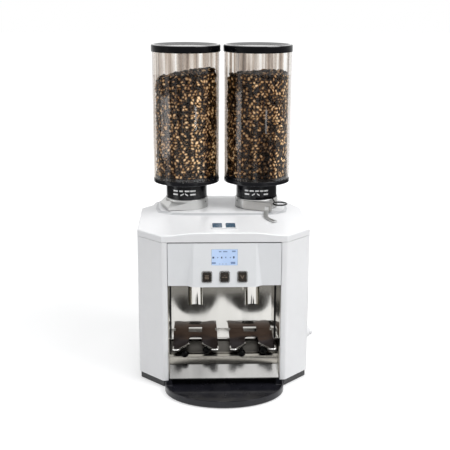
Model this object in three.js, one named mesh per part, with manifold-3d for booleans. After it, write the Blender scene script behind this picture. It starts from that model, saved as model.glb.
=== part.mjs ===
// Twin electric coffee grinder: a white eight-sided housing with two clear bean hoppers,
// two flat-burr grinders side by side, and a polished bay with two portafilter forks.
// Millimetres, +Z up, the front faces -Y. The origin lies under the middle of the overall
// box, at the level that the feet stand on.
import * as THREE from "three";
import { mergeVertices } from "three/addons/utils/BufferGeometryUtils.js";
import Module from "manifold-3d";

const wasm = await Module();
wasm.setup();

// Housing seen from above
const body_width = 310;
const body_depth = 300;
const front_width = 221;
const front_chamfer_depth = 47;
const side_length = 163;
const rear_width = 184;

// Heights of the housing
const foot_height = 2;
const plinth_height = 12;
const panel_height = 259;
const cover_skirt = 12;
const cover_crown = 5;
const cover_rise = 1;
const crown_flat_share = 0.45;
const plateau_height = 5.5;

// Walls, gaps and bends
const seat_gap = 0.3;
const slip_gap = 0.5;
const sheet = 2;
const liner_sheet = 1.2;
const cover_wall = 3;
const bend_radius = 3;
const column_width = 10;
const column_return = 9;
const rear_return = 8;
const cover_edge = 1.5;
const overrun = 1;
const weld_distance = 0.00005;

// Raised platform on the cover
const plateau_width = 252;
const plateau_depth = 142;
const plateau_slope = 5;
const plateau_shift = 7.1;
const plateau_power = 4.5;
const plateau_edge = 1;

// Plinth, feet and tray
const plinth_inset = 2.7;
const plinth_wall = 4;
const plinth_top = 3;
const foot_radius = 13;
const foot_taper = 2;
const foot_seat = 3;
const foot_inset = 34;
const foot_step = 17;
const tray_width = 214;
const tray_reach = 92;
const tray_shoulder = 10;
const tray_lift = 1.5;
const tray_wall = 2.5;
const tray_floor = 2.5;
const tray_tongue_width = 194;
const tray_tongue_length = 28;
const tray_rim = 1.2;

// Portafilter bay
const bay_width = 198;
const bay_depth = 93;
const bay_floor_level = 56;
const bay_ceiling_level = 200;
const floor_front = 20;
const floor_roll = 8;
const wall_fillet = 5;
const step_drop = 18;
const apron_lip_level = 19;
const apron_sheet = 1.2;
const apron_hook = 6;

// Fascia
const fascia_bottom_level = 194.3;
const fascia_top_gap = 1.9;
const fascia_wall = 3;
const fascia_reach = 9;
const fascia_zone_width = 108;
const fascia_blend = 4;
const fascia_flare = 10;
const fascia_side_gap = 0.5;

// Display and buttons
const display_width = 45.4;
const display_height = 28;
const display_thick = 2.4;
const display_level = 247;
const button_pitch = 31.2;
const button_level = 212.5;
const button_rim_width = 18.1;
const button_rim_height = 20.6;
const button_rim_band = 1.6;
const button_rim_proud = 1.4;
const button_corner = 3;
const button_cap_proud = 0.9;
const button_travel = 1.5;
const board_thick = 1.6;
const board_width = 164;
const board_height = 62;
const relay_width = 13;
const relay_height = 12;
const relay_depth = 6;

// Rocker switches on the cover
const rocker_width = 22;
const rocker_length = 30;
const rocker_gap = 1.8;
const rocker_back = 41;
const rocker_frame_band = 2.2;
const rocker_frame_wall = 1.2;
const rocker_frame_proud = 1.6;
const rocker_corner = 2;
const rocker_tilt_deg = 7;
const rocker_rise = 1.6;

// Mains toggle on the right side
const toggle_back = 62;
const toggle_level = 84;
const toggle_boot_radius = 12.5;
const toggle_boot_nose = 8.6;
const toggle_boot_height = 5;
const toggle_radius = 5.4;
const toggle_reach = 11;
const toggle_stub = 4;
const toggle_tilt_deg = 10;

// Spouts and forks
const spout_pitch = 103;
const spout_back = 35;
const spout_radius = 13;
const spout_wall = 1.5;
const spout_tip_level = 146.5;
const spout_arch_height = 6;
const fork_width = 81;
const fork_sheet = 1.5;
const fork_level = 78;
const fork_reach = 9;
const fork_corner = 5;
const fork_flange = 14;
const notch_radius = 12.3;
const notch_end = 56;
const mouth_back = 18;
const mouth_half_width = 32;
const fork_slot_width = 25;
const fork_slot_depth = 15;
const fork_relief_width = 3;
const fork_relief_depth = 8;
const stop_radius = 7.3;
const stop_stem_radius = 2;
const stop_spread = 19.7;
const stop_back = 11;
const stop_long_level = 62;
const stop_short_level = 68.3;

// Hoppers, from the collar up
const hopper_pitch = 134;
const hopper_back = 184;
const collar_radius = 41;
const collar_height = 18.5;
const collar_lift = 0.5;
const collar_floor = 2.5;
const collar_edge = 1;
const neck_radius = 39;
const neck_height = 25;
const neck_wall = 4;
const spigot_radius = 36;
const throat_radius = 27;
const flare_height = 6;
const ring_height = 7;
const seat_lip = 5;
const seat_lip_wall = 2.4;
const tube_radius = 63;
const tube_wall = 3;
const tube_shown = 236;
const lid_radius = 64.5;
const lid_height = 13;
const lid_top_thick = 5.5;
const lid_dish = 3;
const lid_rim = 5;
const lid_edge = 1;
const bean_fill = 194;
const bean_rise_left = 10;
const bean_rise_right = 4;
const bean_lumps = 14;
const bean_lump_rise = 22.5;
const bean_dent = 3;

// Shut-off gate
const gate_thick = 2.6;
const gate_rise = 1;
const gate_radius = 28;
const gate_strap = 10;
const gate_ring_radius = 14.3;
const gate_ring_band = 2.7;
const gate_ring_thick = 3;
const gate_ring_reach = 61.6;
const gate_ring_drop = 8.6;
const gate_angle_right_deg = -48;
const gate_angle_left_deg = 95;

// Adjusting levers
const lever_thick = 3;
const lever_height = 16;
const arm_wrap_deg = 14;
const arm_start_deg = -114;
const arm_length = 46;
const lobe_reach = 52;
const lobe_front_reach = 59.5;
const lobe_root = 30;
const lobe_base = 5;
const lobe_height = 14;
const lobe_top_reach = 43;
const lobe_start_deg = -83;
const lobe_front_deg = -126;
const lobe_rear_deg = -192;
const lobe_end_deg = -230;
const pointer_width = 8;
const pointer_thick = 1.6;
const pointer_lift = 0.6;
const pointer_reach = 113;
const pointer_tip_deg = -75.7;
const pointer_elbow_reach = 81;
const pointer_elbow_deg = -80.8;

// Grinders inside
const deck_level = 208;
const deck_thick = 3;
const deck_depth = 108;
const deck_side_gap = 3;
const floor_plate = 2;
const floor_plate_front = 36;
const motor_radius = 52;
const motor_length = 146;
const motor_bell = 18;
const motor_bell_inset = 4;
const motor_ribs = 3;
const motor_rib_gap = 7;
const motor_rib_depth = 2.5;
const shaft_radius = 6;
const shaft_sunk = 90;
const chamber_radius = 50;
const chamber_wall = 6;
const chamber_floor = 8;
const chamber_height = 78;
const carrier_radius = 38;
const carrier_height = 9;
const carrier_lift = 8;
const burr_radius = 32.5;
const burr_bore = 18;
const burr_thick = 7;
const burr_tooth = 1.6;
const burr_mesh_gap = 0.8;
const burr_teeth = 20;
const burr_skew_deg = 17;
const sleeve_radius = 40;
const sleeve_bore = 30;
const sleeve_floor = 6;
const thread_length = 26;
const hub_radius = 10;
const hub_height = 12;
const vane_reach = 4.5;
const vane_thick = 3;
const vane_height = 6;
const chute_width = 32;
const chute_height = 26;
const chute_wall = 2;
const chute_fall = 12;

// Rear
const vent_width = 60;
const vent_height = 3.5;
const vent_pitch = 10;
const vent_count = 9;
const vent_top_level = 235;
const inlet_width = 30;
const inlet_height = 24;
const inlet_depth = 24;
const inlet_flange = 5;
const inlet_flange_thick = 2;
const inlet_wall = 2.5;
const inlet_level = 48;
const inlet_pin_length = 14;
const inlet_pin_width = 4;
const inlet_pin_thick = 2;

// Smoothness of round shapes
const round_steps = 32;
const small_steps = 16;
const tray_steps = 24;
const ball_steps = 6;
const corner_steps = 3;

// Levels that follow from the sizes above
const plinth_bottom = foot_height;
const panel_bottom = plinth_bottom + plinth_height;
const panel_top = panel_bottom + panel_height;
const cover_bottom = panel_top + slip_gap;
const edge_level = cover_bottom + cover_skirt;
const cover_level = edge_level + cover_crown + cover_rise;
const plateau_level = cover_level + plateau_height;
const collar_bottom = plateau_level + collar_lift;
const collar_top = collar_bottom + collar_height;
const neck_top = collar_top + neck_height;
const ring_bottom = neck_top + flare_height;
const ring_top = ring_bottom + ring_height;
const lid_bottom = ring_top + tube_shown;
const lid_top = lid_bottom + lid_height;
const tube_top = lid_top - lid_top_thick;
const chamber_bottom = deck_level + deck_thick;
const shaft_bore = shaft_radius + 2 * slip_gap;
const half_width = body_width / 2;
const half_front = front_width / 2;
const half_rear = rear_width / 2;
const side_end = front_chamfer_depth + side_length;
const plateau_middle = hopper_back + plateau_shift;
const bay_half = bay_width / 2;
const fascia_top_level = panel_top - fascia_top_gap + slip_gap;

// Solids: a closed three.js geometry becomes a manifold for joining and cutting
function solid(geometry) {
  const bare = new THREE.BufferGeometry();
  bare.setAttribute("position", geometry.getAttribute("position"));
  if (geometry.index) bare.setIndex(geometry.index);
  const merged = mergeVertices(bare, weld_distance);
  const points = merged.getAttribute("position");
  const corners = merged.index.array;
  const a = new THREE.Vector3();
  const b = new THREE.Vector3();
  const c = new THREE.Vector3();
  const kept = [];
  let volume = 0;
  for (let i = 0; i < corners.length; i += 3) {
    const [p, q, r] = [corners[i], corners[i + 1], corners[i + 2]];
    if (p === q || q === r || r === p) continue;
    kept.push([p, q, r]);
    a.fromBufferAttribute(points, p);
    b.fromBufferAttribute(points, q);
    c.fromBufferAttribute(points, r);
    volume += a.dot(b.cross(c));
  }
  const facing_out = volume > 0 ? kept : kept.map(([p, q, r]) => [p, r, q]);
  return new wasm.Manifold(new wasm.Mesh({
    numProp: 3,
    vertProperties: Float32Array.from(points.array),
    triVerts: Uint32Array.from(facing_out.flat()),
  }));
}

function geometryOf(manifold) {
  const mesh = manifold.getMesh();
  const geometry = new THREE.BufferGeometry();
  geometry.setAttribute("position", new THREE.BufferAttribute(mesh.vertProperties, mesh.numProp));
  geometry.setIndex(new THREE.BufferAttribute(mesh.triVerts, 1));
  geometry.computeVertexNormals();
  return geometry;
}

const join = (first, ...others) => others.reduce((sum, other) => sum.add(other), first);
const cut = (first, ...others) => others.reduce((sum, other) => sum.subtract(other), first);

// Outlines in a plane, as Vector2 lists or Shapes
const point = (x, y) => new THREE.Vector2(x, y);

function rectangle(x0, x1, y0, y1) {
  return new THREE.Shape([point(x0, y0), point(x1, y0), point(x1, y1), point(x0, y1)]);
}

function roundedRectangle(width, height, radius) {
  const shape = new THREE.Shape();
  const [w, h] = [width / 2 - radius, height / 2 - radius];
  shape.absarc(w, h, radius, 0, Math.PI / 2);
  shape.absarc(-w, h, radius, Math.PI / 2, Math.PI);
  shape.absarc(-w, -h, radius, -Math.PI, -Math.PI / 2);
  shape.absarc(w, -h, radius, -Math.PI / 2, 0);
  shape.closePath();
  return shape;
}

// Each inner corner of an open path becomes an arc of the given radius
function roundedPath(path, radius) {
  const result = [path[0]];
  for (let i = 1; i < path.length - 1; i++) {
    const back = path[i - 1].clone().sub(path[i]);
    const ahead = path[i + 1].clone().sub(path[i]);
    const reach = Math.min(radius, back.length() / 2, ahead.length() / 2);
    const start = path[i].clone().add(back.setLength(reach));
    const end = path[i].clone().add(ahead.setLength(reach));
    const curve = new THREE.QuadraticBezierCurve(start, path[i], end);
    result.push(...curve.getPoints(corner_steps));
  }
  result.push(path[path.length - 1]);
  return result;
}

// A path of sheet metal: the path and a copy moved to its left by the thickness
function strip(path, thickness) {
  const offset = path.map((here, i) => {
    const before = path[Math.max(i - 1, 0)];
    const after = path[Math.min(i + 1, path.length - 1)];
    const inward = here.clone().sub(before).normalize();
    const outward = after.clone().sub(here).normalize();
    if (i === 0) inward.copy(outward);
    if (i === path.length - 1) outward.copy(inward);
    const normal = point(-inward.y - outward.y, inward.x + outward.x).normalize();
    const mitre = thickness / normal.dot(point(-inward.y, inward.x));
    return here.clone().add(normal.multiplyScalar(mitre));
  });
  return new THREE.Shape([...path, ...offset.reverse()]);
}

// Extrusions along the three axes, and turned bodies about Z
function upward(shape, from, to, steps = corner_steps) {
  const options = { depth: to - from, bevelEnabled: false, curveSegments: steps };
  return solid(new THREE.ExtrudeGeometry(shape, options).translate(0, 0, from));
}

// The outline holds (back, up) and is extruded along X
function across(shape, from, to, steps = corner_steps) {
  const options = { depth: to - from, bevelEnabled: false, curveSegments: steps };
  const geometry = new THREE.ExtrudeGeometry(shape, options);
  geometry.rotateY(Math.PI / 2).rotateX(Math.PI / 2);
  return solid(geometry.translate(from, 0, 0));
}

// The outline holds (right, up) and is extruded along Y
function backward(shape, from, to, steps = corner_steps) {
  const options = { depth: to - from, bevelEnabled: false, curveSegments: steps };
  const geometry = new THREE.ExtrudeGeometry(shape, options).rotateX(Math.PI / 2);
  return solid(geometry.translate(0, to, 0));
}

// The profile holds (radius, level) pairs
function turned(profile, steps = round_steps) {
  const points = profile.map(([radius, level]) => point(radius, level));
  return solid(new THREE.LatheGeometry(points, steps).rotateX(Math.PI / 2));
}

function ringOf(inner, outer, from, to, steps = round_steps) {
  return turned([[inner, from], [outer, from], [outer, to], [inner, to], [inner, from]], steps);
}

function disc(radius, from, to, steps = round_steps) {
  return turned([[0, from], [radius, from], [radius, to], [0, to]], steps);
}

function placed(manifold, x, y, z) {
  return manifold.translate([x, y, z]);
}

const quarter_turn_deg = 90;
const full_turn_deg = 360;

// Turns a body that stands along Z to lie along X or along Y
function alongX(manifold) {
  return manifold.rotate([0, quarter_turn_deg, 0]);
}

function alongY(manifold) {
  return manifold.rotate([-quarter_turn_deg, 0, 0]);
}

// A closed body through rings of the same number of points, flat at both ends
function loft(rings) {
  const count = rings[0].length;
  const corners = [];
  for (let k = 0; k < rings.length - 1; k++) {
    for (let i = 0; i < count; i++) {
      const j = (i + 1) % count;
      const [a, b, c, d] = [k * count + i, k * count + j, (k + 1) * count + j, (k + 1) * count + i];
      corners.push(a, b, c, a, c, d);
    }
  }
  const flat = (ring) => ring.map((corner) => point(corner.x, corner.y));
  const last = (rings.length - 1) * count;
  for (const [i, j, k] of THREE.ShapeUtils.triangulateShape(flat(rings[0]), [])) corners.push(k, j, i);
  const top = THREE.ShapeUtils.triangulateShape(flat(rings[rings.length - 1]), []);
  for (const [i, j, k] of top) corners.push(last + i, last + j, last + k);
  const geometry = new THREE.BufferGeometry().setFromPoints(rings.flat());
  geometry.setIndex(corners);
  return solid(geometry);
}

// The scene graph: one mesh for each piece
const grinder = new THREE.Group();

function piece(name, shape, finish, parent = grinder) {
  const mesh = new THREE.Mesh(shape instanceof wasm.Manifold ? geometryOf(shape) : shape, finish);
  mesh.name = name;
  parent.add(mesh);
  return mesh;
}

function finish(color, roughness, metalness) {
  return new THREE.MeshStandardMaterial({ color, roughness, metalness });
}

const white_paint = finish(0xf2f2f4, 0.35, 0.1);
const fascia_paint = finish(0xe4e6e8, 0.35, 0.1);
const black_plastic = finish(0x141416, 0.45, 0);
const gloss_black = finish(0x0c0c0e, 0.2, 0);
const black_rubber = finish(0x18181a, 0.8, 0);
const polished_steel = finish(0xb8b8b4, 0.08, 1);
const chrome = finish(0xcfcfcf, 0.05, 1);
const brushed_steel = finish(0x9a9a98, 0.35, 1);
const satin_aluminium = finish(0xb4b4ae, 0.4, 1);
const burr_steel = finish(0x6e6e70, 0.4, 1);
const cast_metal = finish(0x77797c, 0.6, 0.8);
const clear_acrylic = finish(0xf4f4f2, 0.05, 0);
const screen_blue = finish(0x9cc4ee, 0.2, 0);
const slate_plastic = finish(0x4a5e72, 0.3, 0);
const board_green = finish(0x1f5a3a, 0.5, 0);
const roasted_beans = finish(0x3a2416, 0.5, 0);
const motor_paint = finish(0x3c3e42, 0.5, 0.6);

// Right half of the housing outline, from the front to the rear
const half_outline = [
  point(half_front, 0),
  point(half_width, front_chamfer_depth),
  point(half_width, side_end),
  point(half_rear, body_depth),
];
const mirrored = (path) => path.map((corner) => point(-corner.x, corner.y));
const outline = [...half_outline, ...mirrored(half_outline).reverse()];

// The outline moved inwards by a distance, square to each edge
function insetOutline(path, distance) {
  const count = path.length;
  return path.map((here, i) => {
    const inward = here.clone().sub(path[(i + count - 1) % count]).normalize();
    const outward = path[(i + 1) % count].clone().sub(here).normalize();
    const normal = point(-inward.y - outward.y, inward.x + outward.x).normalize();
    const mitre = distance / normal.dot(point(-inward.y, inward.x));
    return here.clone().add(normal.multiplyScalar(mitre));
  });
}

// Plinth: a black pan with bosses for the feet and a bay for the tray's tongue
function plinth() {
  const outer = insetOutline(outline, plinth_inset);
  const inner = insetOutline(outline, plinth_inset + plinth_wall);
  const notch_half = tray_tongue_width / 2 + slip_gap;
  const notch_depth = plinth_inset + tray_tongue_length + 2 * slip_gap;
  const pan = cut(
    upward(new THREE.Shape(outer), plinth_bottom, panel_bottom),
    upward(new THREE.Shape(inner), plinth_bottom - overrun, panel_bottom - plinth_top),
  );
  const frame = upward(
    rectangle(-notch_half - plinth_wall, notch_half + plinth_wall, plinth_inset, notch_depth + plinth_wall),
    plinth_bottom, panel_bottom,
  );
  const notch = upward(
    rectangle(-notch_half, notch_half, -overrun, notch_depth),
    plinth_bottom - overrun, panel_bottom + overrun,
  );
  const boss_top = panel_bottom - plinth_top / 2;
  const boss = disc(foot_radius + plinth_wall, foot_height + foot_seat, boss_top, small_steps);
  const bosses = footPlaces().map(([x, y]) => placed(boss, x, y, 0));
  return cut(join(pan, frame, ...bosses), notch);
}

function footPlaces() {
  const [front_reach, rear_reach] = [half_width - foot_inset, half_rear - foot_radius];
  const [front, rear] = [front_chamfer_depth + foot_step, body_depth - foot_inset];
  return [[-front_reach, front], [front_reach, front], [-rear_reach, rear], [rear_reach, rear]];
}

piece("base_plinth", plinth(), black_plastic);
const foot_profile = [
  [0, 0],
  [foot_radius - foot_taper, 0],
  [foot_radius, foot_taper],
  [foot_radius, foot_height + foot_seat],
  [0, foot_height + foot_seat],
];
const foot_names = ["foot_front_left", "foot_front_right", "foot_rear_left", "foot_rear_right"];
footPlaces().forEach(([x, y], i) => {
  piece(foot_names[i], turned(foot_profile, small_steps), black_rubber).position.set(x, y, 0);
});

// Side panels: one bent sheet each, from the bay column round to the rear corner
function sidePanel(side) {
  const path = [
    point(half_front - column_width, column_return),
    point(half_front - column_width, 0),
    ...half_outline,
    point(half_rear - rear_return, body_depth),
  ];
  const bent = strip(roundedPath(path, bend_radius), sheet);
  const flat = bent.getPoints().map((corner) => point(side * corner.x, corner.y));
  return upward(new THREE.Shape(flat), panel_bottom, panel_top);
}

// Rear panel with a comb of cooling slots and a cut-out for the mains inlet
function rearPanel() {
  const half = half_rear - rear_return - seat_gap;
  const plate = backward(rectangle(-half, half, panel_bottom, panel_top), body_depth - sheet, body_depth);
  const slots = [];
  for (let row = 0; row < vent_count; row++) {
    const level = vent_top_level - row * vent_pitch;
    slots.push(backward(
      rectangle(-vent_width / 2, vent_width / 2, level - vent_height / 2, level + vent_height / 2),
      body_depth - sheet - overrun, body_depth + overrun,
    ));
  }
  const opening = backward(
    rectangle(
      -inlet_width / 2 - seat_gap, inlet_width / 2 + seat_gap,
      inlet_level - inlet_height / 2 - seat_gap, inlet_level + inlet_height / 2 + seat_gap,
    ),
    body_depth - sheet - overrun, body_depth + overrun,
  );
  return cut(plate, ...slots, opening);
}

// Mains inlet: a socket with three pins, its flange against the rear panel
function mainsInlet() {
  const [w, h] = [inlet_width / 2, inlet_height / 2];
  const mouth = body_depth + inlet_flange_thick;
  const floor = mouth - inlet_depth + inlet_wall;
  const body = backward(rectangle(-w, w, inlet_level - h, inlet_level + h), mouth - inlet_depth, mouth);
  const [flange_w, flange_h] = [w + inlet_flange, h + inlet_flange];
  const flange = backward(
    rectangle(-flange_w, flange_w, inlet_level - flange_h, inlet_level + flange_h),
    body_depth, mouth,
  );
  const socket = backward(
    rectangle(-w + inlet_wall, w - inlet_wall, inlet_level - h + inlet_wall, inlet_level + h - inlet_wall),
    floor, mouth + overrun,
  );
  const spread = (w - inlet_wall) / 2;
  const rise = inlet_pin_width;
  const pins = [[-spread, -rise], [spread, -rise], [0, rise]].map(([x, z]) => backward(
    rectangle(
      x - inlet_pin_thick / 2, x + inlet_pin_thick / 2,
      inlet_level + z - inlet_pin_width / 2, inlet_level + z + inlet_pin_width / 2,
    ),
    floor - inlet_wall / 2, floor + inlet_pin_length,
  ));
  return join(cut(join(body, flange), socket), ...pins);
}

const toggle_hole = toggle_radius + 3 * slip_gap;
const toggle_opening = placed(
  alongX(disc(toggle_hole, -overrun, sheet + overrun, small_steps)),
  half_width - sheet, toggle_back, toggle_level,
);
piece("side_panel_left", sidePanel(-1), white_paint);
piece("side_panel_right", cut(sidePanel(1), toggle_opening), white_paint);
piece("rear_panel", rearPanel(), white_paint);
piece("mains_inlet", mainsInlet(), black_plastic);

// Points round the housing outline, closer together along the front, for lofting the cover
const edge_counts = { front: 12, chamfer: 2, side: 4, rear_chamfer: 3, rear: 8 };
function outlinePoints(path) {
  const steps = [
    edge_counts.chamfer, edge_counts.side, edge_counts.rear_chamfer, edge_counts.rear,
    edge_counts.rear_chamfer, edge_counts.side, edge_counts.chamfer, edge_counts.front,
  ];
  const points = [];
  path.forEach((from, i) => {
    const to = path[(i + 1) % path.length];
    for (let k = 0; k < steps[i]; k++) points.push(from.clone().lerp(to, k / steps[i]));
  });
  return points;
}

// Height of the cover's edge: level at the corners, crowned along the front and the rear
function edgeRise(x, y) {
  const on_front = y < overrun ? half_front : 0;
  const on_rear = y > body_depth - cover_wall - overrun ? half_rear : 0;
  const half = on_front || on_rear;
  if (!half) return 0;
  const share = Math.min(Math.abs(x) / half, 1);
  return cover_crown * (1 - THREE.MathUtils.smoothstep(share, crown_flat_share, 1));
}

function plateauPoint(corner, inset) {
  const direction = Math.atan2(corner.y - plateau_middle, corner.x);
  const [a, b] = [plateau_width / 2 - inset, plateau_depth / 2 - inset];
  const part = (share) => Math.abs(share) ** plateau_power;
  const sum = part(Math.cos(direction) / a) + part(Math.sin(direction) / b);
  const radius = sum ** (-1 / plateau_power);
  return point(radius * Math.cos(direction), plateau_middle + radius * Math.sin(direction));
}

function topCover() {
  const edge = outlinePoints(outline);
  const shoulder = outlinePoints(insetOutline(outline, cover_edge));
  const at = (corner, level) => new THREE.Vector3(corner.x, corner.y, level);
  const outer = loft([
    edge.map((p) => at(p, cover_bottom)),
    edge.map((p) => at(p, edge_level - cover_edge + edgeRise(p.x, p.y))),
    shoulder.map((p, i) => at(p, edge_level + edgeRise(edge[i].x, edge[i].y))),
    edge.map((p) => at(plateauPoint(p, -plateau_slope), cover_level)),
    edge.map((p) => at(plateauPoint(p, 0), cover_level + plateau_edge)),
    edge.map((p) => at(plateauPoint(p, plateau_slope), plateau_level - plateau_edge)),
    edge.map((p) => at(plateauPoint(p, 2 * plateau_slope), plateau_level)),
  ]);
  const inside = outlinePoints(insetOutline(outline, cover_wall));
  const hollow = loft([
    inside.map((p) => at(p, cover_bottom - overrun)),
    inside.map((p, i) => at(p, edge_level - cover_wall - cover_edge + edgeRise(edge[i].x, edge[i].y))),
    edge.map((p) => at(plateauPoint(p, cover_wall - plateau_slope), cover_level - cover_wall)),
    edge.map((p) => at(plateauPoint(p, 2 * plateau_slope), plateau_level - cover_wall)),
  ]);
  const hole = disc(sleeve_radius + slip_gap, cover_bottom, plateau_level + overrun);
  const holes = [-1, 1].map((side) => placed(hole, side * hopper_pitch / 2, hopper_back, 0));
  const [w, l] = [rocker_body_width / 2 + seat_gap, rocker_body_length / 2 + seat_gap];
  const slot = upward(rectangle(-w, w, -l, l), cover_bottom, plateau_level);
  const slots = [-1, 1].map((side) => placed(slot, side * rocker_half_pitch, rocker_back, 0));
  return cut(outer, hollow, ...holes, ...slots);
}

const rocker_half_pitch = (rocker_width + rocker_gap) / 2;
const rocker_opening_width = rocker_width - 2 * rocker_frame_band;
const rocker_opening_length = rocker_length - 2 * rocker_frame_band;
const rocker_body_width = rocker_opening_width + 2 * rocker_frame_wall;
const rocker_body_length = rocker_opening_length + 2 * rocker_frame_wall;

piece("top_cover", topCover(), white_paint);

// Chassis: a steel floor plate with two upright sides and the deck that carries the grinders
const spans = [hopper_back - deck_depth / 2, hopper_back + deck_depth / 2];
const deck_half = hopper_pitch / 2 + motor_radius + deck_side_gap + sheet;

function chassis() {
  const floor_path = insetOutline(outline, sheet + slip_gap);
  const floor = cut(
    upward(new THREE.Shape(floor_path), panel_bottom, panel_bottom + floor_plate),
    upward(
      rectangle(-body_width, body_width, -overrun, floor_plate_front),
      panel_bottom - overrun, panel_bottom + floor_plate + overrun,
    ),
  );
  const frame = cut(
    backward(rectangle(-deck_half, deck_half, panel_bottom, chamber_bottom), ...spans),
    backward(
      rectangle(-deck_half + sheet, deck_half - sheet, panel_bottom + floor_plate, deck_level),
      spans[0] - overrun, spans[1] + overrun,
    ),
  );
  const hole = disc(shaft_bore, deck_level - overrun, chamber_bottom + overrun, small_steps);
  const holes = [-1, 1].map((side) => placed(hole, side * hopper_pitch / 2, hopper_back, 0));
  const room = upward(new THREE.Shape(floor_path), panel_bottom - overrun, chamber_bottom + overrun);
  return cut(join(floor, frame).intersect(room), ...holes);
}

piece("chassis", chassis(), brushed_steel);

// Bay liner: ceiling, back wall, floor and rolled step folded from one sheet, with two sides
const liner_front = fascia_wall + seat_gap;
const step_bottom = bay_floor_level - step_drop;
const spout_hole = spout_radius + slip_gap;

function bayLiner() {
  const path = [
    ...roundedPath([
      point(liner_front, bay_ceiling_level),
      point(bay_depth, bay_ceiling_level),
      point(bay_depth, bay_floor_level + wall_fillet),
    ], bend_radius).slice(0, -1),
    ...roundedPath([
      point(bay_depth, bay_floor_level + 2 * wall_fillet),
      point(bay_depth, bay_floor_level),
      point(2 * floor_front, bay_floor_level),
    ], wall_fillet).slice(0, -1),
    ...roundedPath([
      point(2 * floor_front, bay_floor_level),
      point(floor_front, bay_floor_level),
      point(floor_front, step_bottom),
    ], floor_roll),
  ];
  const folded = across(strip(path, liner_sheet), -bay_half - liner_sheet / 2, bay_half + liner_sheet / 2);
  const side_shape = rectangle(
    liner_front, bay_depth + liner_sheet,
    panel_bottom + floor_plate + seat_gap, bay_ceiling_level + liner_sheet,
  );
  const sides = [-1, 1].map((side) => {
    const inner = side * bay_half;
    const outer = side * (bay_half + liner_sheet);
    return across(side_shape, Math.min(inner, outer), Math.max(inner, outer));
  });
  const ceiling_top = bay_ceiling_level + liner_sheet;
  const hole = disc(spout_hole, bay_ceiling_level - overrun, ceiling_top + overrun, small_steps);
  const holes = [-1, 1].map((side) => placed(hole, side * spout_pitch / 2, spout_back, 0));
  return cut(join(folded, ...sides), ...holes);
}

// Spill apron: carries loose grounds from below the step down to the tray
function spillApron() {
  const top = step_bottom - slip_gap;
  const path = roundedPath([
    point(floor_front + apron_hook, top),
    point(floor_front, top),
    point(0, apron_lip_level),
    point(0, apron_lip_level - 2 * apron_sheet),
  ], apron_sheet);
  return across(strip(path, apron_sheet), -bay_half + seat_gap, bay_half - seat_gap);
}

piece("bay_liner", bayLiner(), polished_steel);
piece("spill_apron", spillApron(), polished_steel);

// Fascia: flat at its sides, with a middle zone that stands forward towards its foot
const fascia_half = half_front - column_width - fascia_side_gap;
const fascia_span = fascia_top_level - fascia_bottom_level;
const fascia_tilt = Math.atan2(fascia_reach, fascia_span);
const flank_shares = [0, 1];
const blend_shares = [0.25, 0.5, 0.75, 1];
const fascia_row_count = 4;

function fasciaFront(x, level) {
  const drop = (fascia_top_level - level) / fascia_span;
  const start = fascia_zone_width / 2;
  const end = start + fascia_blend + fascia_flare * drop;
  return -fascia_reach * drop * (1 - THREE.MathUtils.smoothstep(Math.abs(x), start, end));
}

// Half of the places across the fascia at one level, from the side to the middle zone
function fasciaPlaces(level) {
  const drop = (fascia_top_level - level) / fascia_span;
  const start = fascia_zone_width / 2;
  const end = start + fascia_blend + fascia_flare * drop;
  const flank = flank_shares.map((share) => fascia_half + (end - fascia_half) * share);
  const blend = blend_shares.map((share) => end + (start - end) * share);
  const half = [...flank, ...blend];
  return [...half.map((x) => -x), ...half.reverse()];
}

function fasciaShell() {
  const rings = [];
  for (let row = 0; row <= fascia_row_count; row++) {
    const level = fascia_bottom_level + fascia_span * row / fascia_row_count;
    const places = fasciaPlaces(level);
    const front = places.map((x) => new THREE.Vector3(x, fasciaFront(x, level), level));
    const back = front.map((corner) => corner.clone().setY(corner.y + fascia_wall)).reverse();
    rings.push([...front, ...back]);
  }
  return loft(rings);
}

// A point on the tilted middle zone: a piece is built facing -Y there and turned with it
function onZone(manifold, x, level) {
  const tilted = manifold.rotate([-THREE.MathUtils.radToDeg(fascia_tilt), 0, 0]);
  return placed(tilted, x, fasciaFront(0, level), level);
}

function zoneGroup(x, level) {
  const group = new THREE.Group();
  group.position.set(x, fasciaFront(0, level), level);
  group.rotation.x = -fascia_tilt;
  grinder.add(group);
  return group;
}

const board_front = fascia_wall + sheet + bend_radius;
const board_bottom = bay_ceiling_level + liner_sheet + bend_radius;
const boss_radius = (column_width - fascia_wall) / 2;
const display_hole = roundedRectangle(display_width + 2 * seat_gap, display_height + 2 * seat_gap, seat_gap);
const button_hole = roundedRectangle(
  button_rim_width + 2 * seat_gap, button_rim_height + 2 * seat_gap, button_corner + seat_gap,
);

function fascia() {
  const sill_level = fascia_bottom_level + fascia_wall;
  const places = fasciaPlaces(fascia_bottom_level);
  const sill_front = places.map((x) => point(x, fasciaFront(x, fascia_bottom_level) + fascia_wall / 2));
  const sill_rear = [point(fascia_half, fascia_wall), point(-fascia_half, fascia_wall)];
  const sill_shape = new THREE.Shape([...sill_front, ...sill_rear]);
  const sill = upward(sill_shape, fascia_bottom_level, sill_level);
  const boss_half = board_width / 2 - 2 * boss_radius;
  const boss_low = board_bottom + 2 * boss_radius;
  const boss_high = board_bottom + board_height - 2 * boss_radius;
  const bosses = [[-1, boss_low], [1, boss_low], [-1, boss_high], [1, boss_high]].map(([side, level]) => {
    const post = disc(boss_radius, fascia_wall / 2, board_front, small_steps);
    return placed(alongY(post), side * boss_half, 0, level);
  });
  const depth = fascia_reach + fascia_wall;
  const window_cut = onZone(backward(display_hole, -depth, depth), 0, display_level);
  const button_cuts = [-1, 0, 1].map((step) => {
    return onZone(backward(button_hole, -depth, depth), step * button_pitch, button_level);
  });
  return cut(join(fasciaShell(), sill, ...bosses), window_cut, ...button_cuts);
}

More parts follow.
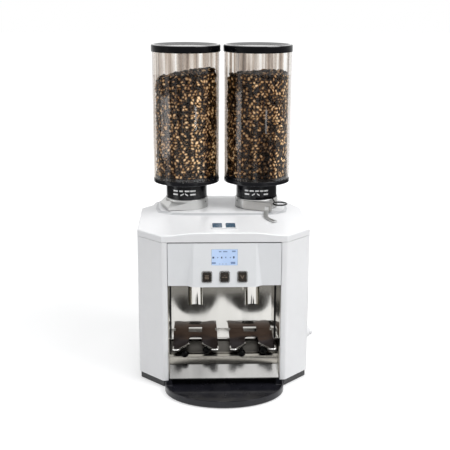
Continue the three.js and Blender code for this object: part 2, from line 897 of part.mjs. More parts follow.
// Control board behind the fascia, with its relays on the rear side
function controlBoard() {
  const half = board_width / 2;
  const plate = backward(
    rectangle(-half, half, board_bottom, board_bottom + board_height), board_front, board_front + board_thick,
  );
  const relay_shares = [-0.75, -0.25, 0.25, 0.75];
  const relay_top = board_bottom + board_height - bend_radius;
  const relays = relay_shares.map((share) => backward(
    rectangle(
      half * share - relay_width / 2, half * share + relay_width / 2,
      relay_top - relay_height, relay_top,
    ),
    board_front + board_thick / 2, board_front + board_thick + relay_depth,
  ));
  return join(plate, ...relays);
}

piece("front_fascia", fascia(), fascia_paint);
piece("control_board", controlBoard(), board_green);

const display_shape = roundedRectangle(display_width, display_height, seat_gap);
piece("display_window", backward(display_shape, 0, display_thick), screen_blue, zoneGroup(0, display_level));

const button_names = ["left", "middle", "right"];
button_names.forEach((name, i) => {
  const group = zoneGroup((i - 1) * button_pitch, button_level);
  const inner_width = button_rim_width - 2 * button_rim_band;
  const inner_height = button_rim_height - 2 * button_rim_band;
  const inner_corner = button_corner - button_rim_band / 2;
  const rim_shape = roundedRectangle(button_rim_width, button_rim_height, button_corner);
  const rim = cut(
    backward(rim_shape, -button_rim_proud, fascia_wall),
    backward(
      roundedRectangle(inner_width, inner_height, inner_corner),
      -button_rim_proud - overrun, fascia_wall + overrun,
    ),
  );
  const cap_depth = board_front - fasciaFront(0, button_level) - 3 * button_travel;
  const cap = backward(
    roundedRectangle(inner_width - 2 * slip_gap, inner_height - 2 * slip_gap, inner_corner),
    -button_cap_proud, cap_depth,
  );
  piece(`button_rim_${name}`, rim, chrome, group);
  piece(`button_${name}`, cap, gloss_black, group);
});

// Twin frame in the cover with its two rockers, each resting tilted to one side
const rocker_seat = edge_level + cover_crown + cover_rise / 2 + seat_gap;
const rocker_frame_top = rocker_seat + rocker_frame_proud;
const rocker_frame_bottom = rocker_seat - cover_wall - 3 * rocker_rise;
const rocker_pivot_level = rocker_seat - rocker_rise;

function rockerFrame() {
  const plate = placed(
    upward(
      roundedRectangle(2 * rocker_width + rocker_gap, rocker_length, rocker_corner),
      rocker_seat, rocker_frame_top,
    ), 0, rocker_back, 0,
  );
  const body_shape = roundedRectangle(rocker_body_width, rocker_body_length, rocker_corner);
  const opening_shape = roundedRectangle(rocker_opening_width, rocker_opening_length, rocker_corner / 2);
  const body = upward(body_shape, rocker_frame_bottom, rocker_frame_top - rocker_frame_proud / 2);
  const opening = upward(opening_shape, rocker_frame_bottom - overrun, rocker_frame_top + overrun);
  const pair = (manifold) => [-1, 1].map((side) => {
    return placed(manifold, side * rocker_half_pitch, rocker_back, 0);
  });
  return cut(join(plate, ...pair(body)), ...pair(opening));
}

piece("rocker_frame", rockerFrame(), white_paint);

const rocker_half_length = rocker_opening_length / 2 - rocker_rise / 2;
const rocker_dip_share = 0.7;
const rocker_keel_share = 0.5;
const rocker_top = rocker_rise + rocker_frame_proud + rocker_rise / 2;
const rocker_profile = new THREE.Shape([
  point(-rocker_half_length, 0),
  point(-rocker_half_length * rocker_keel_share, -2 * rocker_rise),
  point(rocker_half_length * rocker_keel_share, -2 * rocker_rise),
  point(rocker_half_length, 0),
  point(rocker_half_length, rocker_top),
  point(0, rocker_top * rocker_dip_share),
  point(-rocker_half_length, rocker_top),
]);
const rocker_half_width = rocker_opening_width / 2 - seat_gap;
for (const [name, side] of [["left", -1], ["right", 1]]) {
  const rocker = across(rocker_profile, -rocker_half_width, rocker_half_width);
  const mesh = piece(`rocker_${name}`, rocker, slate_plastic);
  mesh.position.set(side * rocker_half_pitch, rocker_back, rocker_pivot_level);
  mesh.rotation.x = THREE.MathUtils.degToRad(rocker_tilt_deg);
}

// Mains toggle: a boot on the right side panel and a lever that rests pointing down
const toggle_pivot = half_width - sheet / 2;
const toggle_tail_share = 0.8;
const toggle_nose_share = 0.6;
const toggle_shoulder_share = 0.85;
const toggle_tip_share = 0.5;

function toggleBoot() {
  const profile = [
    [toggle_hole, 0],
    [toggle_boot_radius, 0],
    [toggle_boot_nose, toggle_boot_height],
    [toggle_hole, toggle_boot_height],
    [toggle_hole, 0],
  ];
  return placed(alongX(turned(profile, small_steps)), half_width, toggle_back, toggle_level);
}

function toggleLever() {
  const length = toggle_reach + sheet / 2;
  const nose = toggle_radius * toggle_nose_share;
  return alongX(turned([
    [0, -toggle_stub],
    [toggle_radius * toggle_tail_share, -toggle_stub],
    [toggle_radius, 0],
    [toggle_radius, length - nose],
    [toggle_radius * toggle_shoulder_share, length - nose / 3],
    [toggle_radius * toggle_tip_share, length],
    [0, length],
  ], small_steps));
}

piece("mains_toggle_boot", toggleBoot(), white_paint);
const toggle = piece("mains_toggle", toggleLever(), white_paint);
toggle.position.set(toggle_pivot, toggle_back, toggle_level);
toggle.rotation.y = THREE.MathUtils.degToRad(toggle_tilt_deg);

// Grounds tray: a D-shaped dish whose straight tongue slides into the plinth
function groundsTray() {
  const [a, b] = [tray_width / 2, tray_reach - tray_shoulder];
  const arc = [];
  for (let i = 0; i <= tray_steps; i++) {
    const angle = Math.PI * i / tray_steps;
    arc.push(point(-a * Math.cos(angle), -tray_shoulder - b * Math.sin(angle)));
  }
  const shoulder = plinth_inset - slip_gap;
  const end = plinth_inset + tray_tongue_length;
  const tongue = tray_tongue_width / 2;
  const right = [point(a, shoulder), point(tongue, shoulder), point(tongue, end)];
  const path = [...arc, ...right, ...mirrored(right).reverse()];
  const top = panel_bottom - slip_gap;
  const ring = (inset, level) => insetOutline(path, inset).map((p) => new THREE.Vector3(p.x, p.y, level));
  const outer = loft([
    ring(tray_rim, tray_lift),
    ring(0, tray_lift + tray_rim),
    ring(0, top - tray_rim),
    ring(tray_rim / 2, top),
  ]);
  const floor = tray_lift + tray_floor;
  const dish = loft([
    ring(tray_wall + tray_rim, floor),
    ring(tray_wall, floor + tray_rim),
    ring(tray_wall, top + overrun),
  ]);
  return cut(outer, dish);
}

piece("grounds_tray", groundsTray(), gloss_black);

// Spouts: chrome tubes through the bay's ceiling, their tips arched at the front and the rear
const chute_bottom = bay_ceiling_level + liner_sheet + sheet;
const spout_top = chute_bottom + 2 * chute_wall;

function spout() {
  const tube = ringOf(spout_radius - spout_wall, spout_radius, spout_tip_level, spout_top, small_steps);
  const arch_radius = (spout_radius ** 2 + spout_arch_height ** 2) / (2 * spout_arch_height);
  const arch = alongY(disc(arch_radius, -2 * spout_radius, 2 * spout_radius, round_steps));
  return cut(tube, placed(arch, 0, 0, spout_tip_level + spout_arch_height - arch_radius));
}

// Portafilter forks: flat plates with a tapered mouth, folded down along the bay's back wall
const fork_end = bay_depth - seat_gap;
const fork_bottom = fork_level - fork_sheet;

function fork() {
  const half = fork_width / 2;
  const inner = half - fork_relief_width;
  const relief = fork_end - fork_relief_depth;
  const slot = fork_slot_width / 2;
  const nook = fork_end - fork_slot_depth;
  const corner = (x) => roundedPath([
    point(x, -fork_reach + 2 * fork_corner),
    point(x, -fork_reach),
    point(Math.sign(x) * mouth_half_width, -fork_reach),
    point(Math.sign(x) * notch_radius, mouth_back),
    point(Math.sign(x) * notch_radius, notch_end - 2 * notch_radius),
  ], fork_corner);
  const arc = [];
  for (let i = 0; i <= small_steps / 2; i++) {
    const angle = Math.PI * i / (small_steps / 2);
    const back = notch_end - notch_radius * (1 - Math.sin(angle));
    arc.push(point(-notch_radius * Math.cos(angle), back));
  }
  const rear = [
    point(half, relief),
    point(inner, relief),
    point(inner, fork_end),
    point(slot, fork_end),
    point(slot, nook),
  ];
  const shape = new THREE.Shape([
    ...corner(-half), ...arc, ...corner(half).reverse(), ...rear, ...mirrored(rear).reverse(),
  ]);
  const flanges = [-1, 1].map((side) => {
    const [x0, x1] = side < 0 ? [-inner, -slot] : [slot, inner];
    const section = rectangle(x0, x1, fork_end - fork_sheet, fork_end);
    return upward(section, fork_bottom - fork_flange, fork_level - fork_sheet / 2);
  });
  return join(upward(shape, fork_bottom, fork_level), ...flanges);
}

// Ball stops under each fork: a ball on a thin stem
function ballStop(level) {
  const start = Math.asin(stop_stem_radius / stop_radius);
  const profile = [];
  for (let i = 0; i <= ball_steps; i++) {
    const angle = Math.PI - (Math.PI - start) * i / ball_steps;
    profile.push([stop_radius * Math.sin(angle), level + stop_radius * Math.cos(angle)]);
  }
  profile[0][0] = 0;
  const top = fork_bottom - seat_gap;
  return turned([...profile, [stop_stem_radius, top], [0, top]], small_steps);
}

const sides = [["left", -1], ["right", 1]];
for (const [name, side] of sides) {
  const middle = side * spout_pitch / 2;
  piece(`spout_${name}`, spout(), chrome).position.set(middle, spout_back, 0);
  piece(`fork_${name}`, fork(), polished_steel).position.set(middle, 0, 0);
  const long_stop = piece(`stop_long_${name}`, ballStop(stop_long_level), gloss_black);
  const short_stop = piece(`stop_short_${name}`, ballStop(stop_short_level), gloss_black);
  long_stop.position.set(middle - stop_spread, stop_back, 0);
  short_stop.position.set(middle + stop_spread, stop_back, 0);
}

// Levels of the grinding parts, from the chamber's floor up
const chamber_floor_level = chamber_bottom + chamber_floor;
const chamber_top = chamber_bottom + chamber_height;
const carrier_bottom = chamber_floor_level + carrier_lift;
const carrier_top = carrier_bottom + carrier_height;
const lower_burr_bottom = carrier_top + seat_gap;
const lower_burr_top = lower_burr_bottom + burr_thick;
const upper_burr_bottom = lower_burr_top + burr_mesh_gap;
const upper_burr_top = upper_burr_bottom + burr_thick;
const sleeve_bottom = upper_burr_top + seat_gap;
const motor_top = deck_level - seat_gap;
const motor_bottom = motor_top - motor_length;

// A flat burr lying teeth up: saw teeth, deep and steep at the bore, fine at the rim, all skewed
const burr_ring_shares = [0, 0.5, 1];
const burr_depth_shares = [1.6, 1, 0.35];
const burr_dish_shares = [1, 0.25, 0];
const burr_valley_share = 0.28;

function burr() {
  const corners = [];
  const turn = 2 * Math.PI / burr_teeth;
  const burr_skew = THREE.MathUtils.degToRad(burr_skew_deg);
  for (let tooth = 0; tooth < burr_teeth; tooth++) {
    for (const valley of [false, true]) {
      const angle = turn * (tooth + (valley ? burr_valley_share : 0));
      const at = (radius, level, skew) => new THREE.Vector3(
        radius * Math.cos(angle + skew), radius * Math.sin(angle + skew), level,
      );
      corners.push(at(burr_bore, 0, 0), at(burr_radius, 0, burr_skew));
      for (let i = burr_ring_shares.length - 1; i >= 0; i--) {
        const radius = burr_bore + (burr_radius - burr_bore) * burr_ring_shares[i];
        const dish = burr_tooth * burr_dish_shares[i];
        const depth = valley ? burr_tooth * burr_depth_shares[i] : 0;
        corners.push(at(radius, burr_thick - dish - depth, burr_skew * burr_ring_shares[i]));
      }
    }
  }
  const count = burr_ring_shares.length + 2;
  const total = corners.length;
  const faces = [];
  for (let k = 0; k < total; k += count) {
    for (let i = 0; i < count; i++) {
      const j = (i + 1) % count;
      const [a, b, c, d] = [k + i, k + j, (k + count + j) % total, (k + count + i) % total];
      faces.push(a, b, c, a, c, d);
    }
  }
  const geometry = new THREE.BufferGeometry().setFromPoints(corners);
  geometry.setIndex(faces);
  return solid(geometry);
}

// Lower burr carrier: a disc with sweeping vanes on its rim, a hub nut and the drive shaft
function burrCarrier() {
  const vane_shape = rectangle(
    carrier_radius - vane_thick, carrier_radius + vane_reach, -vane_thick / 2, vane_thick / 2,
  );
  const vane = upward(vane_shape, carrier_bottom, carrier_bottom + vane_height);
  const vanes = [0, 1, 2].map((i) => vane.rotate([0, 0, i * full_turn_deg / 3]));
  return join(turned([
    [0, chamber_bottom - shaft_sunk],
    [shaft_radius, chamber_bottom - shaft_sunk],
    [shaft_radius, carrier_bottom],
    [carrier_radius, carrier_bottom],
    [carrier_radius, carrier_top],
    [hub_radius, carrier_top],
    [hub_radius, carrier_top + hub_height],
    [0, carrier_top + hub_height],
  ], small_steps), ...vanes);
}

// Grinding chamber: a cast pot on the deck with a chute down to the spout
function chamber(side) {
  const reach = hopper_back - spout_back;
  const shift = (hopper_pitch - spout_pitch) / 2;
  const length = Math.hypot(reach, shift);
  const pot = disc(chamber_radius, chamber_bottom, chamber_top, round_steps);
  const inner_radius = chamber_radius - chamber_wall;
  const thread_bottom = chamber_top - thread_length;
  const hollow = turned([
    [0, chamber_floor_level],
    [inner_radius, chamber_floor_level],
    [inner_radius, thread_bottom - chamber_wall],
    [sleeve_radius + slip_gap, thread_bottom],
    [sleeve_radius + slip_gap, chamber_top + overrun],
    [0, chamber_top + overrun],
  ]);
  const shaft_hole = disc(shaft_bore, chamber_bottom - overrun, chamber_floor_level + overrun, small_steps);
  const front = -length - chute_width / 2;
  const heel = -length + chute_width / 2;
  const rise = chute_bottom + chute_fall;
  const outer_shape = new THREE.Shape([
    point(front, chute_bottom),
    point(heel, chute_bottom),
    point(-inner_radius, rise),
    point(-inner_radius, rise + chute_height),
    point(front, chute_bottom + chute_height),
  ]);
  const throat = -inner_radius + 2 * chute_wall;
  const inner_shape = new THREE.Shape([
    point(front + chute_wall, chute_bottom + chute_wall),
    point(heel, chute_bottom + chute_wall),
    point(throat, chamber_floor_level),
    point(throat, rise + chute_height - chute_wall),
    point(front + chute_wall, chute_bottom + chute_height - chute_wall),
  ]);
  const half = chute_width / 2;
  const outlet = placed(
    disc(spout_hole, chute_bottom - overrun, chute_bottom + 2 * chute_wall, small_steps), 0, -length, 0,
  );
  const angle = -side * THREE.MathUtils.radToDeg(Math.atan2(shift, reach));
  const aim = (manifold) => manifold.rotate([0, 0, angle]);
  const body = join(pot, aim(across(outer_shape, -half, half)));
  const duct = aim(across(inner_shape, -half + chute_wall, half - chute_wall));
  return cut(body, hollow, shaft_hole, duct, aim(outlet));
}

// Motor: a ribbed drum with end bells, bored from above for the drive shaft
function motor() {
  const bell_radius = motor_radius - motor_bell_inset;
  const rib_floor = motor_radius - motor_rib_depth;
  const profile = [
    [0, motor_bottom],
    [bell_radius - motor_bell_inset, motor_bottom],
    [bell_radius, motor_bottom + motor_bell],
  ];
  const drum = motor_length - 2 * motor_bell;
  const pitch = drum / motor_ribs;
  for (let i = 0; i < motor_ribs; i++) {
    const start = motor_bottom + motor_bell + i * pitch;
    profile.push([rib_floor, start], [rib_floor, start + motor_rib_gap]);
    profile.push([motor_radius, start + motor_rib_gap], [motor_radius, start + pitch]);
  }
  profile.push([bell_radius, motor_top - motor_bell], [bell_radius, motor_top]);
  const bore_floor = chamber_bottom - shaft_sunk - bend_radius;
  profile.push([shaft_bore, motor_top], [shaft_bore, bore_floor], [0, bore_floor]);
  return turned(profile, small_steps);
}

// Adjusting collar: a ring on the platform and its sleeve, threaded into the chamber
const spigot_bottom = collar_bottom + collar_floor;
const collar_bore = spigot_radius + seat_gap;

function collar() {
  return turned([
    [burr_bore + collar_edge, sleeve_bottom],
    [sleeve_radius, sleeve_bottom],
    [sleeve_radius, collar_bottom],
    [collar_radius, collar_bottom],
    [collar_radius, collar_top - collar_edge],
    [collar_radius - collar_edge, collar_top],
    [collar_bore, collar_top],
    [collar_bore, spigot_bottom - seat_gap],
    [sleeve_bore, spigot_bottom - seat_gap],
    [sleeve_bore, sleeve_bottom + sleeve_floor],
    [burr_bore + collar_edge, sleeve_bottom + sleeve_floor],
    [burr_bore + collar_edge, sleeve_bottom],
  ]);
}

// The left collar carries a cast lobe to turn it by
const polar = (radius, degrees) => point(
  radius * Math.cos(THREE.MathUtils.degToRad(degrees)), radius * Math.sin(THREE.MathUtils.degToRad(degrees)),
);

function collarLobe() {
  const outlineAt = (share) => [
    polar(collar_radius, lobe_start_deg),
    polar(lobe_root, lobe_front_deg),
    polar(lobe_root, lobe_rear_deg),
    polar(collar_radius, lobe_end_deg),
    polar(lobe_reach * share, lobe_rear_deg),
    polar(lobe_front_reach * share, lobe_front_deg),
  ];
  const ring = (share, level) => outlineAt(share).map((p) => new THREE.Vector3(p.x, p.y, level));
  const bottom = collar_bottom + slip_gap;
  const body = loft([
    ring(1, bottom), ring(1, bottom + lobe_base), ring(lobe_top_reach / lobe_reach, bottom + lobe_height),
  ]);
  return cut(body, disc((collar_bore + collar_radius) / 2, bottom - overrun, collar_top + overrun));
}

// The right collar has a separate arm, bent from strip and clamped against its rim
const arm_bottom = plateau_level + pointer_lift + slip_gap;

function leverArm() {
  const radius = collar_radius + seat_gap;
  const path = [];
  for (let i = 0; i <= corner_steps; i++) {
    path.push(polar(radius, arm_start_deg - arm_wrap_deg * (1 - i / corner_steps)));
  }
  path.push(polar(radius, arm_start_deg).add(polar(arm_length, arm_start_deg + quarter_turn_deg)));
  return upward(strip(path.reverse(), lever_thick), arm_bottom, arm_bottom + lever_height);
}

// The pointer is a bent strip that lies against the arm's outer face and reaches over the cover
function pointer() {
  const offset = collar_radius + seat_gap + lever_thick + 2 * slip_gap + pointer_thick / 2;
  const along_arm = polar(1, arm_start_deg + quarter_turn_deg);
  const foot = polar(offset, arm_start_deg).addScaledVector(along_arm, arm_length - pointer_width);
  const elbow = polar(pointer_elbow_reach, pointer_elbow_deg);
  const tip = polar(pointer_reach, pointer_tip_deg);
  const at = (p, level) => new THREE.Vector3(p.x, p.y, level + pointer_lift + pointer_thick / 2);
  const curve = new THREE.CatmullRomCurve3([
    at(foot, arm_bottom + lever_height / 2),
    at(foot, plateau_level + pointer_thick),
    at(elbow, cover_level),
    at(tip, cover_level - cover_rise),
  ], false, "centripetal");
  const steps = 3 * corner_steps;
  const sections = curve.getPoints(steps).map((centre, i) => {
    const ahead = curve.getTangent(i / steps);
    const upright = 1 - Math.hypot(ahead.x, ahead.y);
    const wide = new THREE.Vector3(along_arm.x, along_arm.y, 0).multiplyScalar(upright);
    wide.add(new THREE.Vector3(-ahead.y, ahead.x, 0));
    const thin = ahead.clone().cross(wide).setLength(pointer_thick / 2);
    wide.crossVectors(thin, ahead).setLength(pointer_width / 2);
    const corners = [[1, 1], [-1, 1], [-1, -1], [1, -1]];
    return corners.map(([w, t]) => centre.clone().addScaledVector(wide, w).addScaledVector(thin, t).toArray());
  });
  const links = sections.slice(1).map((section, i) => wasm.Manifold.hull([...sections[i], ...section]));
  return join(...links);
}

// Hopper base: spigot, neck with the gate's slot, flare and the ring that holds the tube
const neck_bottom = collar_top + seat_gap;
const slot_bottom = neck_bottom + gate_rise;
const slot_top = slot_bottom + gate_thick + 2 * seat_gap;
const gate_bottom = slot_bottom + seat_gap;
const gate_top = gate_bottom + gate_thick;
const lip_radius = tube_radius - tube_wall - seat_gap;
const lip_inner = lip_radius - seat_lip_wall;
const lip_top = ring_top + seat_lip;
const neck_inner = neck_radius - neck_wall;
const funnel_top = ring_bottom + neck_wall;
const funnel_foot = neck_top + neck_wall;
const throat_top = slot_top + neck_wall / 2;

function gateOutline(radius, end) {
  const steps = small_steps / 2;
  const arc = [];
  for (let i = 0; i <= steps; i++) arc.push(polar(radius, quarter_turn_deg + 2 * quarter_turn_deg * i / steps));
  return new THREE.Shape([...arc, point(end, -radius), point(end, radius)]);
}

function hopperBase(gate_angle) {
  const body = turned([
    [throat_radius, spigot_bottom],
    [spigot_radius, spigot_bottom],
    [spigot_radius, neck_bottom],
    [neck_radius, neck_bottom],
    [neck_radius, neck_top],
    [tube_radius, ring_bottom],
    [tube_radius, ring_top],
    [lip_radius, ring_top],
    [lip_radius, lip_top],
    [lip_inner, lip_top],
    [lip_inner, funnel_top],
    [neck_inner, funnel_foot],
    [neck_inner, throat_top + neck_wall],
    [throat_radius, throat_top],
    [throat_radius, spigot_bottom],
  ]);
  const slot = upward(gateOutline(gate_radius + seat_gap, neck_radius + overrun), slot_bottom, slot_top);
  return cut(body, slot.rotate([0, 0, gate_angle]));
}

// Shut-off gate: a round-ended plate, a strap down over the collar's edge and a finger ring
function gate(angle) {
  const plate = upward(gateOutline(gate_radius, neck_radius - neck_wall), gate_bottom, gate_top);
  const ring_level = gate_top - gate_ring_drop;
  const strap_end = gate_ring_reach - gate_ring_radius + gate_ring_band / 2;
  const strap = backward(strip([
    point(neck_inner - gate_strap, gate_bottom),
    point(neck_radius + gate_thick, gate_bottom),
    point(strap_end, ring_level - gate_ring_thick / 2),
  ], gate_thick), -gate_strap / 2, gate_strap / 2);
  const ring = ringOf(
    gate_ring_radius - gate_ring_band, gate_ring_radius,
    ring_level - gate_ring_thick, ring_level, small_steps,
  );
  return join(plate, strap, placed(ring, gate_ring_reach, 0, 0)).rotate([0, 0, angle]);
}

function hopperLid() {
  const skirt = tube_radius + seat_gap;
  return turned([
    [0, tube_top + seat_gap],
    [skirt, tube_top + seat_gap],
    [skirt, lid_bottom],
    [lid_radius, lid_bottom],
    [lid_radius, lid_top - lid_edge],
    [lid_radius - lid_edge, lid_top],
    [lid_radius - lid_rim, lid_top],
    [lid_radius - lid_rim - lid_dish, lid_top - lid_dish],
    [0, lid_top - lid_dish],
  ]);
}

// Beans: one body that fills the hopper down to the gate, lumpy behind the tube, its top rising
// to the right
function beans(rise) {
  const level = ring_top + bean_fill;
  const foot = lip_top + seat_gap;
  const core_radius = lip_radius - 2 * bean_dent;
  const core = turned([
    [0, slot_top],
    [throat_radius - seat_gap, slot_top],
    [throat_radius - seat_gap, throat_top + seat_gap],
    [neck_inner - seat_gap, throat_top + neck_wall + seat_gap],
    [neck_inner - seat_gap, funnel_foot + seat_gap],
    [lip_inner - seat_gap, funnel_top + seat_gap],
    [lip_inner - seat_gap, foot],
    [core_radius, foot],
    [core_radius, foot + bean_lump_rise],
    [0, foot + bean_lump_rise],
  ], small_steps);
  const rows = Math.ceil((level + 2 * rise - foot) / bean_lump_rise);
  const rings = [];
  for (let k = 0; k <= rows; k++) {
    const ring = [];
    for (let i = 0; i < 2 * bean_lumps; i++) {
      const spot = polar(lip_radius - ((i + k) % 2) * bean_dent, (i * full_turn_deg) / (2 * bean_lumps));
      ring.push(new THREE.Vector3(spot.x, spot.y, foot + k * bean_lump_rise));
    }
    rings.push(ring);
  }
  const slope = new THREE.Vector3(rise, 0, -lip_radius).normalize();
  return join(core, loft(rings)).trimByPlane(slope.toArray(), slope.z * level);
}

for (const [name, side] of sides) {
  const right = side > 0;
  const gate_angle = right ? gate_angle_right_deg : gate_angle_left_deg;
  const group = new THREE.Group();
  group.position.set(side * hopper_pitch / 2, hopper_back, 0);
  grinder.add(group);
  piece(`motor_${name}`, motor(), motor_paint, group);
  piece(`grind_chamber_${name}`, chamber(side), cast_metal, group);
  piece(`burr_carrier_${name}`, burrCarrier(), brushed_steel, group);
  piece(`lower_burr_${name}`, placed(burr(), 0, 0, lower_burr_bottom), burr_steel, group);
  const upside_down = burr().rotate([2 * quarter_turn_deg, 0, 0]);
  piece(`upper_burr_${name}`, placed(upside_down, 0, 0, upper_burr_top), burr_steel, group);
  piece(`adjust_collar_${name}`, right ? collar() : join(collar(), collarLobe()), satin_aluminium, group);
  if (right) {
    piece("adjust_lever", leverArm(), brushed_steel, group);
    piece("lever_pointer", pointer(), brushed_steel, group);
  }
  piece(`hopper_base_${name}`, hopperBase(gate_angle), black_plastic, group);
  piece(`hopper_gate_${name}`, gate(gate_angle), black_plastic, group);
  const tube = ringOf(tube_radius - tube_wall, tube_radius, ring_top + seat_gap, tube_top);
  piece(`hopper_tube_${name}`, tube, clear_acrylic, group);
  piece(`hopper_lid_${name}`, hopperLid(), black_plastic, group);
  piece(`beans_${name}`, beans(right ? bean_rise_right : bean_rise_left), roasted_beans, group);
}

// The middle of the overall box goes to the origin
grinder.updateMatrixWorld(true);
const middle = new THREE.Box3().setFromObject(grinder, true).getCenter(new THREE.Vector3());
grinder.position.set(-middle.x, -middle.y, 0);

export default grinder;
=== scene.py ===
"""Looks of the twin electric coffee grinder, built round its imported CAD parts. Metres, +Z up."""

import math
import random

import bpy
from mathutils import Euler, Matrix, Vector


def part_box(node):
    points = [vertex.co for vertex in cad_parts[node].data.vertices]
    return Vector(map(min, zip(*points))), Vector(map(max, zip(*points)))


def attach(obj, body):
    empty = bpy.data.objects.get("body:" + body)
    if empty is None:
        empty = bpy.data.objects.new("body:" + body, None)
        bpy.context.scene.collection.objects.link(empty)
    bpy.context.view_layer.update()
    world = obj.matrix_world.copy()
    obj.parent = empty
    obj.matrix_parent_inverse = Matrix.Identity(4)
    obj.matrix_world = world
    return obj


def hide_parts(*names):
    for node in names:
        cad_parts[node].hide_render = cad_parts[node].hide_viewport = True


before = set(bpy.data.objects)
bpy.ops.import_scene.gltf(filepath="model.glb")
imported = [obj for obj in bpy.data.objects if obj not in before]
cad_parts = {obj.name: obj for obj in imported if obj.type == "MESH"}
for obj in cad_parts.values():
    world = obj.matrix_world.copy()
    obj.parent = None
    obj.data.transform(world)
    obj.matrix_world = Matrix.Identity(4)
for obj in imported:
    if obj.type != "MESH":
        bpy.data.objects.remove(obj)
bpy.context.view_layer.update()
bpy.context.scene.view_settings.view_transform = "Standard"

MM = 0.001
SIDES = ("left", "right")
TURN = 2 * math.pi
UP = Vector((0, 0, 1))

# ---------------------------------------------------------------- camera
CAMERA_PLACE = (-0.05889, -1.69666, 0.71489)
CAMERA_YAW = 0.0338
CAMERA_PITCH = 0.252
CAMERA_ROLL = 0.0036
CAMERA_LENS = 75.65
CAMERA_SENSOR = 36.0
CAMERA_CLIP = (0.05, 100)


def add_camera():
    """The photograph's own view, found by fitting a camera to it."""
    data = bpy.data.cameras.new("camera")
    data.lens = CAMERA_LENS
    data.sensor_width = CAMERA_SENSOR
    data.clip_start, data.clip_end = CAMERA_CLIP
    camera = bpy.data.objects.new("camera", data)
    forward = Vector((
        math.sin(CAMERA_YAW) * math.cos(CAMERA_PITCH),
        math.cos(CAMERA_YAW) * math.cos(CAMERA_PITCH),
        -math.sin(CAMERA_PITCH),
    ))
    right = Vector((math.cos(CAMERA_YAW), -math.sin(CAMERA_YAW), 0))
    above = right.cross(forward)
    rolled_right = right * math.cos(CAMERA_ROLL) + above * math.sin(CAMERA_ROLL)
    rolled_above = above * math.cos(CAMERA_ROLL) - right * math.sin(CAMERA_ROLL)
    turn = Matrix((rolled_right, rolled_above, -forward)).transposed()
    camera.matrix_world = Matrix.Translation(CAMERA_PLACE) @ turn.to_4x4()
    bpy.context.scene.collection.objects.link(camera)
    bpy.context.scene.camera = camera


add_camera()

# ---------------------------------------------------------------- node helpers
EVEN = (1, 1, 1)
PURE_WHITE = (1, 1, 1, 1)
# the span of a noise texture's value that is used
NOISE_SPAN = (0.3, 0.7)
# a colour mix node's sockets: share, first and second colour, and the result
MIX_INPUTS = (0, 6, 7)
MIX_RESULT = 2


def fill(tree, node, sockets):
    """Puts a plain value or a link on each of the named sockets."""
    for socket, value in sockets.items():
        if isinstance(value, bpy.types.NodeSocket):
            tree.links.new(value, node.inputs[socket])
        else:
            node.inputs[socket].default_value = value


def add_node(tree, kind, sockets=None, **settings):
    node = tree.nodes.new(kind)
    for setting, value in settings.items():
        setattr(node, setting, value)
    fill(tree, node, sockets or {})
    return node


def find_node(tree, kind):
    return next(node for node in tree.nodes if node.type == kind)


def new_material(name):
    material = bpy.data.materials.new(name)
    material.use_nodes = True
    tree = material.node_tree
    return material, tree, find_node(tree, "BSDF_PRINCIPLED")


def object_coords(tree, stretch=EVEN):
    coords = add_node(tree, "ShaderNodeTexCoord").outputs["Object"]
    mapping = add_node(tree, "ShaderNodeMapping", {"Vector": coords, "Scale": stretch})
    return mapping.outputs["Vector"]


def along(tree, axis, vector=None):
    """One axis of a vector, or of the place in the object's own frame."""
    if vector is None:
        vector = object_coords(tree)
    return add_node(tree, "ShaderNodeSeparateXYZ", {0: vector}).outputs[axis]


def facing_up(tree, normal):
    """How far the surface faces up, by the named kind of normal."""
    geometry = add_node(tree, "ShaderNodeNewGeometry")
    return along(tree, "Z", geometry.outputs[normal])


def noise(tree, scale, stretch=EVEN, detail=3.0, roughness=0.5):
    texture = add_node(tree, "ShaderNodeTexNoise", {
        "Vector": object_coords(tree, stretch), "Scale": scale, "Detail": detail,
        "Roughness": roughness,
    })
    return texture.outputs["Fac"]


def spread(tree, value, low, high, start=NOISE_SPAN[0], end=NOISE_SPAN[1]):
    """Maps the span from start to end onto low to high, and holds it beyond."""
    span = add_node(tree, "ShaderNodeMapRange", {
        "Value": value, "From Min": start, "From Max": end, "To Min": low, "To Max": high,
    })
    return span.outputs["Result"]


def colours(tree, value, stops):
    ramp = add_node(tree, "ShaderNodeValToRGB", {"Fac": value})
    elements = ramp.color_ramp.elements
    while len(elements) < len(stops):
        elements.new(0.5)
    for element, (place, colour) in zip(elements, stops):
        element.position = place
        element.color = (*colour, 1)
    return ramp.outputs["Color"]


def two_tones(tree, value, dark, light, span=NOISE_SPAN):
    return colours(tree, value, [(span[0], dark), (span[1], light)])


def varied(tree, value, colour, vary, span=NOISE_SPAN):
    """A colour that drifts to a little darker and a little lighter."""
    dark, light = [tuple(min(1, c * factor) for c in colour) for factor in (1 - vary, 1 + vary)]
    return two_tones(tree, value, dark, light, span)


def math_node(tree, operation, first, second):
    node = add_node(tree, "ShaderNodeMath", {0: first, 1: second}, operation=operation)
    return node.outputs["Value"]


def times(tree, first, second):
    return math_node(tree, "MULTIPLY", first, second)


def mixed_colour(tree, share, first, second, blend="MIX"):
    shades = [(*shade, 1) if isinstance(shade, tuple) else shade for shade in (first, second)]
    mix = add_node(tree, "ShaderNodeMix", dict(zip(MIX_INPUTS, (share, *shades))),
                   data_type="RGBA", blend_type=blend)
    return mix.outputs[MIX_RESULT]


def bump(tree, value, distance, under=None):
    sockets = {"Height": value, "Distance": distance, "Strength": 1.0}
    if under is not None:
        sockets["Normal"] = under
    return add_node(tree, "ShaderNodeBump", sockets).outputs["Normal"]


def seen_by(tree, *rays):
    """One where any of the named kinds of ray looks, else nought."""
    light_path = add_node(tree, "ShaderNodeLightPath")
    seen, *others = [light_path.outputs[f"Is {ray} Ray"] for ray in rays]
    for other in others:
        seen = math_node(tree, "MAXIMUM", seen, other)
    return seen


